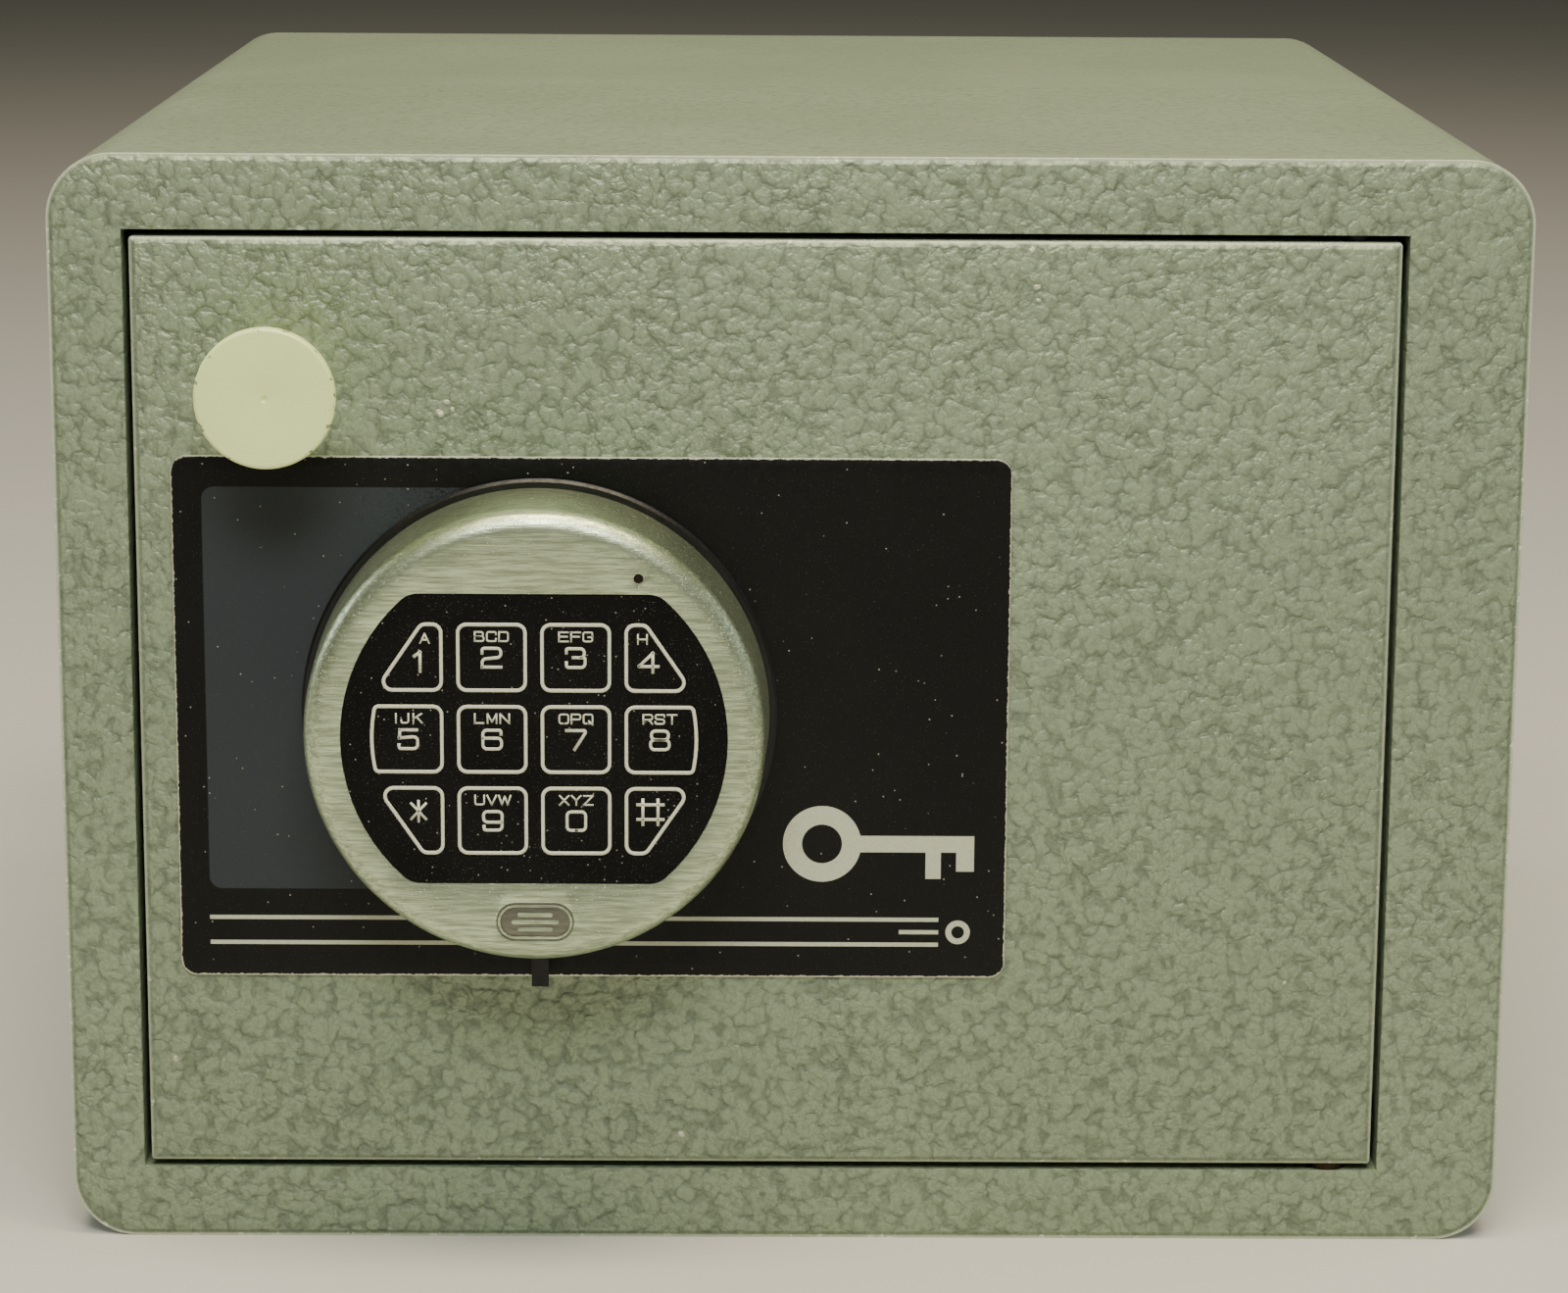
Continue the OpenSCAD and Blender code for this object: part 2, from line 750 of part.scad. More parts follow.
module knob_cam() {
  color(ZINC) difference() {
    slab(cam_front_y, cam_front_y + cam_t) {
      translate([knob_x, knob_z]) {
        circle(9);
        rotate(crank_angle) translate([-6, -crank_r]) square([12, crank_r]);
      }
      translate([bar_x, pin_z]) circle(6);
    }
    bar_y(knob_x, knob_z, cam_front_y - 1, cam_front_y + cam_t + 1, spindle_r);
    bar_y(bar_x, pin_z, cam_front_y - 1, cam_front_y + cam_t + 1, cam_pin_r);
  }
}

module cam_pin() {
  color(RAW_STEEL) bar_y(bar_x, pin_z, bar_front_y + 2, cam_front_y + cam_t, cam_pin_r);
}

// Bolts -------------------------------------------------------------------

module bolt_bar() {
  slot_r = cam_pin_r + cam_slot_gap;
  slot_z = knob_z - crank_r - cam_pin_r - 1.5 + slot_r;
  color(ZINC) difference() {
    block([bar_x - bar_w / 2, bar_front_y, bar_bottom], [bar_x + bar_w / 2, bar_rear_y, bar_top]);
    slab(bar_front_y - 1, bar_rear_y + 1) {
      translate([bar_x, slot_z]) circle(slot_r);
      translate([bar_x - slot_r, slot_z]) square([2 * slot_r, 30]);
    }
    for (z = [bolt_low_z, bolt_high_z])
      bar_along_x(bar_x - bar_w, bar_x + bar_w, bolt_y, z, bolt_stud_r);
  }
}

// Round bolt with a stud that passes through the bar
module locking_bolt(z) {
  shoulder_x = bar_x - bar_w / 2;
  color(RAW_STEEL) {
    bar_along_x(bolt_tip_x + 1.5, shoulder_x, bolt_y, z, bolt_r);
    translate([bolt_tip_x, bolt_y, z]) rotate([0, 90, 0]) cylinder(h = 1.5, r1 = bolt_r - 1.5, r2 = bolt_r);
    bar_along_x(shoulder_x, bar_x + bar_w / 2 + 4, bolt_y, z, bolt_stud_r);
  }
}

module bolt_upper() { locking_bolt(bolt_high_z); }

module bolt_lower() { locking_bolt(bolt_low_z); }

module bolt_nuts() {
  color(ZINC) for (z = [bolt_low_z, bolt_high_z])
    translate([bar_x + bar_w / 2, bolt_y, z]) rotate([0, 90, 0]) difference() {
      cylinder(h = 3.6, r = 7, $fn = 6);
      translate([0, 0, -1]) cylinder(h = 6, r = bolt_stud_r);
    }
}

// Battery drawer -----------------------------------------------------------

module battery_drawer() {
  tab_half = 2;
  color(BLACK) {
    difference() {
      intersection() {
        bar_y(keypad_x, keypad_z, front_y - drawer_front, front_y - drawer_floor, housing_r - 0.4);
        block(
          [keypad_x - drawer_half, front_y - drawer_front, keypad_z - 60],
          [keypad_x + drawer_half, front_y - drawer_floor, drawer_top]
        );
      }
      block(
        [keypad_x - drawer_half + drawer_wall, front_y - drawer_front - 1, drawer_base_z],
        [keypad_x + drawer_half - drawer_wall, front_y - drawer_floor - drawer_skin, drawer_top - 1.5]
      );
    }
    block(
      [keypad_x - tab_half, front_y - drawer_floor - 3.4, keypad_z - 64.5],
      [keypad_x + tab_half, front_y - drawer_floor - 1.6, keypad_z - 52]
    );
  }
}

module battery() {
  half = drawer_half - drawer_wall - 0.2;
  color("#2c2f33") block(
    [keypad_x - half, front_y - drawer_front + 0.3, drawer_base_z],
    [keypad_x + half, front_y - drawer_floor - drawer_skin, drawer_base_z + battery_len]
  );
}

module battery_snap() {
  snap_z = drawer_base_z + battery_len;
  color(BLACK) block(
    [keypad_x - 10, front_y - 18, snap_z],
    [keypad_x + 10, front_y - 7, snap_z + 2]
  );
}

outer_wrap();
front_frame();
back_plate();
floor_mat();
hinge_pin_upper();
hinge_pin_lower();
hinge_washer();
door_plate();
dog_bar();
label_plate();
bolt_guide_upper();
bolt_guide_lower();
bolt_guide_screws();
lock_case();
lock_cover();
lock_screws();
lock_solenoid();
lock_cable();
door_cover();
cover_standoffs();
cover_screws();
keypad_base();
keypad_base_screws();
keypad_housing();
housing_screws();
keypad_overlay();
dome_mat();
circuit_board();
sounder();
indicator_lens();
badge_inlay();
key_button(0, 0);  // key_1
key_button(1, 0);  // key_2
key_button(2, 0);  // key_3
key_button(3, 0);  // key_4
key_button(0, 1);  // key_5
key_button(1, 1);  // key_6
key_button(2, 1);  // key_7
key_button(3, 1);  // key_8
key_button(0, 2);  // key_star
key_button(1, 2);  // key_9
key_button(2, 2);  // key_0
key_button(3, 2);  // key_hash
knob_bush();
knob();
knob_spindle();
knob_grub_screw();
spindle_ring();
knob_cam();
cam_pin();
bolt_bar();
bolt_upper();
bolt_lower();
bolt_nuts();
lock_bolt();
battery_drawer();
battery();
battery_snap();
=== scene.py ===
"""Looks of a small electronic safe.

A bent steel cabinet in hammered enamel, a flush door with a round twelve-key
lock and a turning knob, and plain boltwork behind the door. Every piece is
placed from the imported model's own nodes, in metres, with the door facing -Y.
"""

from __future__ import annotations

import logging
import math
import sys
from collections.abc import Callable, Sequence
from dataclasses import dataclass, field
from enum import Enum

import bmesh
import bpy
from mathutils import Matrix, Vector

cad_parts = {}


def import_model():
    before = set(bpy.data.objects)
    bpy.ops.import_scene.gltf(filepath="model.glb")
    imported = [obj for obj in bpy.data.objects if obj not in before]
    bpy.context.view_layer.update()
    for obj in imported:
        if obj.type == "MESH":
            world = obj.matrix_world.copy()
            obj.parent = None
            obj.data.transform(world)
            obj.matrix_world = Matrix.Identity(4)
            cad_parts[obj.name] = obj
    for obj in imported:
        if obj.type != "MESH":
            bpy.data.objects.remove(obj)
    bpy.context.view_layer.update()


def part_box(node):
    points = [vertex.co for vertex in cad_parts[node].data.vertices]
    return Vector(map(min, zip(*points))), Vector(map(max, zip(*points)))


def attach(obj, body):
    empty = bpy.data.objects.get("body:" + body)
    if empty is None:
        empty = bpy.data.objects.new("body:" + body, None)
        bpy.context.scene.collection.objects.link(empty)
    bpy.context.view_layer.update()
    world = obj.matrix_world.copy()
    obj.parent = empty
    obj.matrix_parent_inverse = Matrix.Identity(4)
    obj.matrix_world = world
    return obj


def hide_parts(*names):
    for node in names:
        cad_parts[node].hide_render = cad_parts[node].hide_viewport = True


log = logging.getLogger("safe")

MM = 0.001
MERGE_WITHIN = 0.002 * MM
SLIVER = 0.001 * MM
INK_RISE = 0.03 * MM
Point2 = tuple[float, float]
Outline = Sequence[Point2]
Test = Callable[[object], bool]


# ---------------------------------------------------------------- modelling


def only(obj: bpy.types.Object) -> bpy.types.Object:
    """Leaves one object selected and active, and returns it."""
    bpy.ops.object.select_all(action="DESELECT")
    obj.select_set(True)
    bpy.context.view_layer.objects.active = obj
    return obj


def settle(obj: bpy.types.Object) -> bpy.types.Object:
    """Moves an object's place, turn and scale into its mesh."""
    only(obj)
    bpy.ops.object.transform_apply(location=True, rotation=True, scale=True)
    return obj


def edit(obj: bpy.types.Object, steps: Callable[[], None]) -> bpy.types.Object:
    """Runs operators on one object in edit mode.

    Args:
        obj: The mesh object.
        steps: The calls to make once edit mode is on.

    Returns:
        The same object, back in object mode.
    """
    only(obj)
    bpy.ops.object.mode_set(mode="EDIT")
    bpy.ops.mesh.select_mode(type="VERT")
    bpy.ops.mesh.select_all(action="SELECT")
    steps()
    bpy.ops.object.mode_set(mode="OBJECT")
    return obj


def pick_edges(test: Test) -> None:
    """Selects only the edges of the mesh in edit mode that pass a test."""
    bpy.ops.mesh.select_mode(type="EDGE")
    bpy.ops.mesh.select_all(action="DESELECT")
    mesh = bmesh.from_edit_mesh(bpy.context.active_object.data)
    for edge in mesh.edges:
        edge.select_set(bool(test(edge)))
    bmesh.update_edit_mesh(bpy.context.active_object.data)


def pick_faces(test: Test) -> None:
    """Selects only the faces of the mesh in edit mode that pass a test."""
    bpy.ops.mesh.select_mode(type="FACE")
    bpy.ops.mesh.select_all(action="DESELECT")
    mesh = bmesh.from_edit_mesh(bpy.context.active_object.data)
    for face in mesh.faces:
        face.select_set(bool(test(face)))
    bmesh.update_edit_mesh(bpy.context.active_object.data)


def tidy_mesh() -> None:
    """Merges doubled points and turns all faces outwards, in edit mode."""
    bpy.ops.mesh.select_all(action="SELECT")
    bpy.ops.mesh.remove_doubles(threshold=MERGE_WITHIN)
    bpy.ops.mesh.normals_make_consistent(inside=False)


def modify(obj: bpy.types.Object, kind: str, **settings: object) -> bpy.types.Object:
    """Adds one modifier to a piece and applies it.

    Args:
        obj: The piece.
        kind: The modifier's type.
        **settings: The modifier's own settings.

    Returns:
        The same piece.
    """
    only(obj)
    modifier = obj.modifiers.new(kind.title(), kind)
    for key, value in settings.items():
        setattr(modifier, key, value)
    bpy.ops.object.modifier_apply(modifier=modifier.name)
    return obj


def soften(obj: bpy.types.Object, width: float, segments: int = 3, angle: float = 40) -> bpy.types.Object:
    """Rounds every edge that is sharper than an angle in degrees."""
    return modify(
        obj,
        "BEVEL",
        width=width,
        segments=segments,
        limit_method="ANGLE",
        angle_limit=math.radians(angle),
        use_clamp_overlap=True,
    )


def shade(obj: bpy.types.Object, angle: float = 35) -> bpy.types.Object:
    """Shades a piece smooth, apart from edges sharper than an angle in degrees."""
    only(obj)
    bpy.ops.object.shade_smooth_by_angle(angle=math.radians(angle))
    return obj


def cut(obj: bpy.types.Object, cutter: bpy.types.Object) -> bpy.types.Object:
    """Cuts one solid out of another and removes the cutter."""
    modify(obj, "BOOLEAN", operation="DIFFERENCE", solver="EXACT", object=cutter)
    bpy.data.objects.remove(cutter, do_unlink=True)
    return obj


def join(name: str, parts: Sequence[bpy.types.Object]) -> bpy.types.Object:
    """Joins several meshes into one named piece."""
    only(parts[0])
    for part in parts:
        part.select_set(True)
    if len(parts) > 1:
        bpy.ops.object.join()
    parts[0].name = name
    parts[0].data.name = name
    return parts[0]


def add_box(name: str, lo: Vector, hi: Vector) -> bpy.types.Object:
    """Adds a box between two corners, ready to be shaped."""
    bpy.ops.mesh.primitive_cube_add(size=1, location=(Vector(lo) + Vector(hi)) / 2)
    obj = bpy.context.active_object
    obj.name = name
    obj.scale = Vector(hi) - Vector(lo)
    return settle(obj)


def add_rod(name: str, start: Vector, end: Vector, radius: float, sides: int = 48) -> bpy.types.Object:
    """Adds a round bar between two points, ready to be shaped.

    Args:
        name: The piece's name.
        start: Centre of one end.
        end: Centre of the other end.
        radius: Radius of the bar.
        sides: Number of sides.

    Returns:
        The new piece.
    """
    along = Vector(end) - Vector(start)
    bpy.ops.mesh.primitive_cylinder_add(
        vertices=sides,
        radius=radius,
        depth=along.length,
        location=(Vector(start) + Vector(end)) / 2,
        rotation=along.to_track_quat("Z", "Y").to_euler(),
    )
    obj = bpy.context.active_object
    obj.name = name
    return settle(obj)


def add_curve(name: str, lines: Sequence[Outline], closed: bool, flat: bool) -> bpy.types.Object:
    """Draws lines as one curve object in its own X and Y plane.

    Args:
        name: The curve's name.
        lines: The points of each line, as pairs of X and Z.
        closed: True if every line is a closed outline.
        flat: True for a filled flat curve, whose inner outlines are holes.

    Returns:
        The curve object, selected and active.
    """
    curve = bpy.data.curves.new(name, "CURVE")
    curve.dimensions = "2D" if flat else "3D"
    curve.fill_mode = "BOTH" if flat else "FULL"
    for line in lines:
        spline = curve.splines.new("POLY")
        spline.points.add(len(line) - 1)
        for point, (x, z) in zip(spline.points, line):
            point.co = (x, z, 0, 1)
        spline.use_cyclic_u = closed
    obj = bpy.data.objects.new(name, curve)
    bpy.context.collection.objects.link(obj)
    return only(obj)


def stand_up(obj: bpy.types.Object, y: float, depth_scale: float = 1.0) -> bpy.types.Object:
    """Makes a curve a mesh and stands it in the plane of the door.

    Args:
        obj: The curve, drawn in X and Y.
        y: Where its own zero plane comes to lie.
        depth_scale: Scale of its thickness.

    Returns:
        The mesh piece.
    """
    bpy.ops.object.convert(target="MESH")
    obj.scale = (1, 1, depth_scale)
    settle(obj)
    obj.rotation_euler = (math.pi / 2, 0, 0)
    obj.location = (0, y, 0)
    settle(obj)
    return edit(obj, tidy_mesh)


def panel(name: str, outlines: Sequence[Outline], front: float, thickness: float) -> bpy.types.Object:
    """Makes a flat plate that faces -Y from its outline and its holes.

    Args:
        name: The piece's name.
        outlines: The outer outline and any holes, as pairs of X and Z.
        front: Y of the front face.
        thickness: Thickness towards +Y.

    Returns:
        The new piece.
    """
    obj = add_curve(name, outlines, closed=True, flat=True)
    obj.data.extrude = thickness / 2
    return stand_up(obj, front + thickness / 2)


def strokes(
    name: str, lines: Sequence[Outline], width: float, front: float, closed: bool = False
) -> bpy.types.Object:
    """Makes printed lines of one width, lying a hair proud of a front face.

    Args:
        name: The piece's name.
        lines: Centre lines, as pairs of X and Z.
        width: Width of the lines.
        front: Y of the face that they are printed on.
        closed: True if every line runs back into itself.

    Returns:
        The new piece.
    """
    obj = add_curve(name, lines, closed=closed, flat=False)
    obj.data.bevel_depth = width / 2
    obj.data.bevel_resolution = 1
    obj.data.use_fill_caps = True
    return stand_up(obj, front, INK_RISE / (width / 2))


def turned(
    name: str, profile: Outline, x: float, z: float, front: float, steps: int = 128
) -> bpy.types.Object:
    """Spins a closed profile about an axis along Y.

    Args:
        name: The piece's name.
        profile: Pairs of radius and distance in front of the door's face.
        x: X of the axis.
        z: Z of the axis.
        front: Y of the door's face.
        steps: Number of steps in the turn.

    Returns:
        The new piece.
    """
    bpy.ops.mesh.primitive_circle_add(vertices=len(profile), radius=MM, fill_type="NOTHING")
    obj = bpy.context.active_object
    obj.name = name
    for vertex, (radius, reach) in zip(obj.data.vertices, profile):
        vertex.co = (x + radius, front - reach, z)
    settle(obj)

    def spin() -> None:
        """Turns the profile once round and closes the seam."""
        bpy.ops.mesh.spin(
            steps=steps, angle=2 * math.pi, center=(x, 0, z), axis=(0, 1, 0), use_auto_merge=True
        )
        bpy.ops.mesh.select_all(action="SELECT")
        bpy.ops.mesh.remove_doubles(threshold=MERGE_WITHIN)
        bpy.ops.mesh.dissolve_degenerate(threshold=SLIVER)
        bpy.ops.mesh.select_all(action="SELECT")
        bpy.ops.mesh.normals_make_consistent(inside=False)

    return edit(obj, spin)


# ----------------------------------------------------------------- outlines


def arc(cx: float, cz: float, radius: float, start: float, end: float, steps: int) -> list[Point2]:
    """Points of an arc about a centre, between two angles in degrees."""
    angles = [math.radians(start + (end - start) * i / steps) for i in range(steps + 1)]
    return [(cx + radius * math.cos(a), cz + radius * math.sin(a)) for a in angles]


def disc(cx: float, cz: float, radius: float, steps: int = 48) -> list[Point2]:
    """Points of a full circle."""
    return arc(cx, cz, radius, 0, 360, steps)[:-1]


def rounded(points: Outline, radius: float, closed: bool = True, steps: int = 6) -> list[Point2]:
    """Rounds the corners of a line or outline.

    Args:
        points: The corner points in order.
        radius: Radius of the corners, smaller where a side is too short for it.
        closed: True for an outline that runs back into itself.
        steps: Number of steps in each corner.

    Returns:
        The points of the rounded line.
    """
    made: list[Point2] = []
    count = len(points)
    for i, place in enumerate(points):
        corner = Vector(place)
        if not closed and i in (0, count - 1):
            made.append(tuple(corner))
            continue
        before = Vector(points[i - 1]) - corner
        after = Vector(points[(i + 1) % count]) - corner
        half = before.angle(after) / 2
        reach = min(radius / math.tan(half), 0.48 * before.length, 0.48 * after.length)
        start, end = corner + before.normalized() * reach, corner + after.normalized() * reach
        centre = corner + (before.normalized() + after.normalized()).normalized() * reach / math.cos(half)
        spoke_a, spoke_b = start - centre, end - centre
        turn = spoke_a.angle_signed(spoke_b)
        made += [tuple(centre + Matrix.Rotation(-turn * s / steps, 2) @ spoke_a) for s in range(steps + 1)]
    return made


def rectangle(x0: float, z0: float, x1: float, z1: float) -> list[Point2]:
    """Corners of an upright rectangle."""
    return [(x0, z0), (x1, z0), (x1, z1), (x0, z1)]


def moved(line: Outline, x: float, z: float, sx: float = 1, sz: float = 1) -> list[Point2]:
    """Scales a line about its own zero point and moves it."""
    return [(x + sx * px, z + sz * pz) for px, pz in line]


def in_mm(line: Outline, x: float = 0, z: float = 0) -> list[Point2]:
    """Reads a line as millimetres and moves it to a zero point, both in millimetres."""
    return moved(line, x * MM, z * MM, MM, MM)


# ------------------------------------------------------------------ shading


def srgb(code: str) -> tuple[float, float, float, float]:
    """Turns a colour such as 8c917d into the linear values that shaders take."""
    parts = [int(code[i:i + 2], 16) / 255 for i in (0, 2, 4)]
    red, green, blue = (c / 12.92 if c <= 0.04045 else ((c + 0.055) / 1.055) ** 2.4 for c in parts)
    return (red, green, blue, 1.0)


Socket = bpy.types.NodeSocket
Value = float | int | tuple | Socket


@dataclass
class Graph:
    """A node tree that is built with one call for each node."""

    tree: bpy.types.NodeTree

    def add(
        self, kind: str, inputs: dict[str | int, Value] | None = None, **settings: object
    ) -> bpy.types.Node:
        """Adds a node, sets it up and links or fills its inputs.

        Args:
            kind: The node's type without the ShaderNode in front.
            inputs: Values or sockets for its inputs, by name or number.
            **settings: The node's own settings.

        Returns:
            The new node.
        """
        node = self.tree.nodes.new(kind if kind.startswith("Node") else f"ShaderNode{kind}")
        for key, value in settings.items():
            setattr(node, key, value)
        for key, value in (inputs or {}).items():
            if isinstance(value, bpy.types.NodeSocket):
                self.tree.links.new(value, node.inputs[key])
            else:
                node.inputs[key].default_value = value
        return node

    def math(self, operation: str, a: Value, b: Value = 0.0) -> Socket:
        """Works out one sum of two values."""
        return self.add("Math", {0: a, 1: b}, operation=operation).outputs[0]

    def vector(self, operation: str, a: Value, b: Value = (0, 0, 0)) -> Socket:
        """Works out one sum of two vectors."""
        node = self.add("VectorMath", {0: a, 1: b}, operation=operation)
        return node.outputs["Value" if operation == "LENGTH" else "Vector"]

    def mix(self, factor: Value, a: Value, b: Value) -> Socket:
        """Mixes two colours."""
        node = self.add("Mix", {0: factor, 6: a, 7: b}, data_type="RGBA")
        return node.outputs[2]

    def step(
        self, value: Value, low: float, high: float, to_low: float = 0.0, to_high: float = 1.0
    ) -> Socket:
        """Maps a range of values smoothly onto another range."""
        node = self.add(
            "MapRange",
            {"Value": value, "From Min": low, "From Max": high, "To Min": to_low, "To Max": to_high},
            interpolation_type="SMOOTHSTEP",
        )
        return node.outputs[0]

    def noise(self, place: Value, scale: float, detail: float = 2.0, rough: float = 0.5) -> bpy.types.Node:
        """Adds cloudy noise at a scale in waves per metre."""
        return self.add("TexNoise", {"Vector": place, "Scale": scale, "Detail": detail, "Roughness": rough})

    def here(self) -> Socket:
        """The surface's place in the object's own metres."""
        return self.add("TexCoord").outputs["Object"]

    def placed(self, place: Value, centre: tuple = (0, 0, 0), scale: tuple = (1, 1, 1)) -> Socket:
        """Moves a pattern's zero point to a centre and stretches it."""
        inputs = {"Vector": place, "Location": centre, "Scale": scale}
        return self.add("Mapping", inputs, vector_type="TEXTURE").outputs[0]

    def group(self, tree: bpy.types.NodeTree, **inputs: Value) -> bpy.types.Node:
        """Places a shared effect and links or fills its inputs."""
        node = self.add("Group")
        node.node_tree = tree
        for key, value in inputs.items():
            socket = node.inputs[key]
            if isinstance(value, bpy.types.NodeSocket):
                self.tree.links.new(value, socket)
            else:
                socket.default_value = value
        return node


class Effect(Enum):
    """Effects that several finishes share, each a node group built once."""

    HAMMER = "hammer pattern"
    GRAIN = "metal grain"
    DUST = "dust specks"
    RIM = "distance inside a rounded rectangle"
    GRIME = "handling marks"

    def tree(self) -> bpy.types.NodeTree:
        """The effect's node group."""
        return bpy.data.node_groups.get(self.value) or EFFECT_MAKERS[self]()


def new_effect(effect: Effect, inputs: dict[str, float | tuple], outputs: Sequence[str]) -> tuple:
    """Starts the node group of an effect.

    Args:
        effect: The effect.
        inputs: Name and usual value of each input, a tuple for a vector.
        outputs: Names of its value outputs.

    Returns:
        The graph, its group input node and its group output node.
    """
    tree = bpy.data.node_groups.new(effect.value, "ShaderNodeTree")
    for name, value in inputs.items():
        kind = "NodeSocketVector" if isinstance(value, tuple) else "NodeSocketFloat"
        socket = tree.interface.new_socket(name=name, in_out="INPUT", socket_type=kind)
        socket.default_value = value
    for name in outputs:
        tree.interface.new_socket(name=name, in_out="OUTPUT", socket_type="NodeSocketFloat")
    graph = Graph(tree)
    return graph, graph.add("NodeGroupInput"), graph.add("NodeGroupOutput")


def hammer_effect() -> bpy.types.NodeTree:
    """Enamel that has drawn together into small soft domes with shallow valleys between them."""
    graph, given, out = new_effect(
        Effect.HAMMER, {"Place": (0.0, 0.0, 0.0), "Cells": 350.0}, ("Height", "Valley", "Tone")
    )
    place = given.outputs["Place"]
    bent = place
    for scale, push in ((150.0, 4.4 * MM), (520.0, 1.7 * MM)):
        swirl = graph.noise(place, scale, 2).outputs["Color"]
        shift = graph.vector("MULTIPLY", graph.vector("SUBTRACT", swirl, (0.5, 0.5, 0.5)), (push, push, push))
        bent = graph.vector("ADD", bent, shift)
    cells = graph.add("TexVoronoi", {"Vector": bent, "Scale": given.outputs["Cells"]})
    small_scale = graph.math("MULTIPLY", given.outputs["Cells"], 2.2)
    small = graph.add("TexVoronoi", {"Vector": bent, "Scale": small_scale})
    dome = graph.math("SUBTRACT", 1.0, graph.math("POWER", cells.outputs["Distance"], 2.0))
    bead = graph.math("SUBTRACT", 1.0, graph.math("POWER", small.outputs["Distance"], 2.0))
    patch = graph.step(graph.noise(place, 45, 2).outputs["Fac"], 0.4, 0.6, 0.25, 0.7)
    fine = graph.noise(place, 1500, 2).outputs["Fac"]
    height = graph.math("ADD", dome, graph.math("MULTIPLY", bead, graph.math("MULTIPLY", patch, 0.6)))
    height = graph.math("ADD", height, graph.math("MULTIPLY", fine, 0.07))
    # Valley mask, for roughness and for a darker colour that is partly painted shade in the hollows.
    low = graph.math("ADD", graph.step(dome, 0.5, 0.79, 0.85, 0.0), graph.step(bead, 0.5, 0.82, 0.45, 0.0))
    flakes = graph.step(graph.noise(place, 1900, 2, 0.7).outputs["Fac"], 0.35, 0.7)
    graph.tree.links.new(height, out.inputs["Height"])
    graph.tree.links.new(low, out.inputs["Valley"])
    graph.tree.links.new(flakes, out.inputs["Tone"])
    return graph.tree


def grain_effect() -> bpy.types.NodeTree:
    """Fine parallel scratches; the place is stretched along the grain beforehand."""
    graph, given, out = new_effect(
        Effect.GRAIN, {"Place": (0.0, 0.0, 0.0), "Density": 1.0}, ("Height", "Streak")
    )
    place = given.outputs["Place"]
    fine_scale = graph.math("MULTIPLY", given.outputs["Density"], 9000.0)
    fine = graph.add("TexNoise", {"Vector": place, "Scale": fine_scale, "Detail": 3.0}).outputs["Fac"]
    broad_scale = graph.math("MULTIPLY", given.outputs["Density"], 3000.0)
    broad = graph.add("TexNoise", {"Vector": place, "Scale": broad_scale, "Detail": 2.0}).outputs["Fac"]
    height = graph.math("ADD", graph.math("MULTIPLY", fine, 0.5), graph.math("MULTIPLY", broad, 0.5))
    graph.tree.links.new(height, out.inputs["Height"])
    graph.tree.links.new(graph.step(height, 0.35, 0.65), out.inputs["Streak"])
    return graph.tree


def dust_effect() -> bpy.types.NodeTree:
    """Sparse pale specks of dust and lint."""
    graph, given, out = new_effect(Effect.DUST, {"Place": (0.0, 0.0, 0.0), "Amount": 0.5}, ("Mask",))
    specks = graph.add("TexVoronoi", {"Vector": given.outputs["Place"], "Scale": 760.0})
    chance = graph.add("SeparateColor", {0: specks.outputs["Color"]}).outputs[0]
    rare = graph.math("GREATER_THAN", given.outputs["Amount"], graph.math("MULTIPLY", chance, 7.0))
    dot = graph.step(specks.outputs["Distance"], 0.09, 0.17, 1.0, 0.0)
    haze = graph.step(graph.noise(given.outputs["Place"], 2600, 2).outputs["Fac"], 0.62, 0.8)
    haze = graph.math("MULTIPLY", haze, graph.math("MULTIPLY", given.outputs["Amount"], 0.35))
    mask = graph.math("MAXIMUM", graph.math("MULTIPLY", rare, dot), haze)
    graph.tree.links.new(mask, out.inputs["Mask"])
    return graph.tree


def rim_effect() -> bpy.types.NodeTree:
    """Distance from the edge of an upright rounded rectangle, growing inwards."""
    graph, given, out = new_effect(
        Effect.RIM, {"Place": (0.0, 0.0, 0.0), "Half": (0.1, 0.0, 0.1), "Corner": 0.004}, ("Inside",)
    )
    apart = graph.vector("SUBTRACT", graph.vector("ABSOLUTE", given.outputs["Place"]), given.outputs["Half"])
    split = graph.add("SeparateXYZ", {0: apart})
    px = graph.math("ADD", split.outputs["X"], given.outputs["Corner"])
    pz = graph.math("ADD", split.outputs["Z"], given.outputs["Corner"])
    reach = graph.add("CombineXYZ", {0: graph.math("MAXIMUM", px, 0.0), 1: graph.math("MAXIMUM", pz, 0.0)})
    outer = graph.vector("LENGTH", reach.outputs[0])
    inner = graph.math("MINIMUM", graph.math("MAXIMUM", px, pz), 0.0)
    signed = graph.math("SUBTRACT", graph.math("ADD", outer, inner), given.outputs["Corner"])
    graph.tree.links.new(graph.math("MULTIPLY", signed, -1.0), out.inputs["Inside"])
    return graph.tree


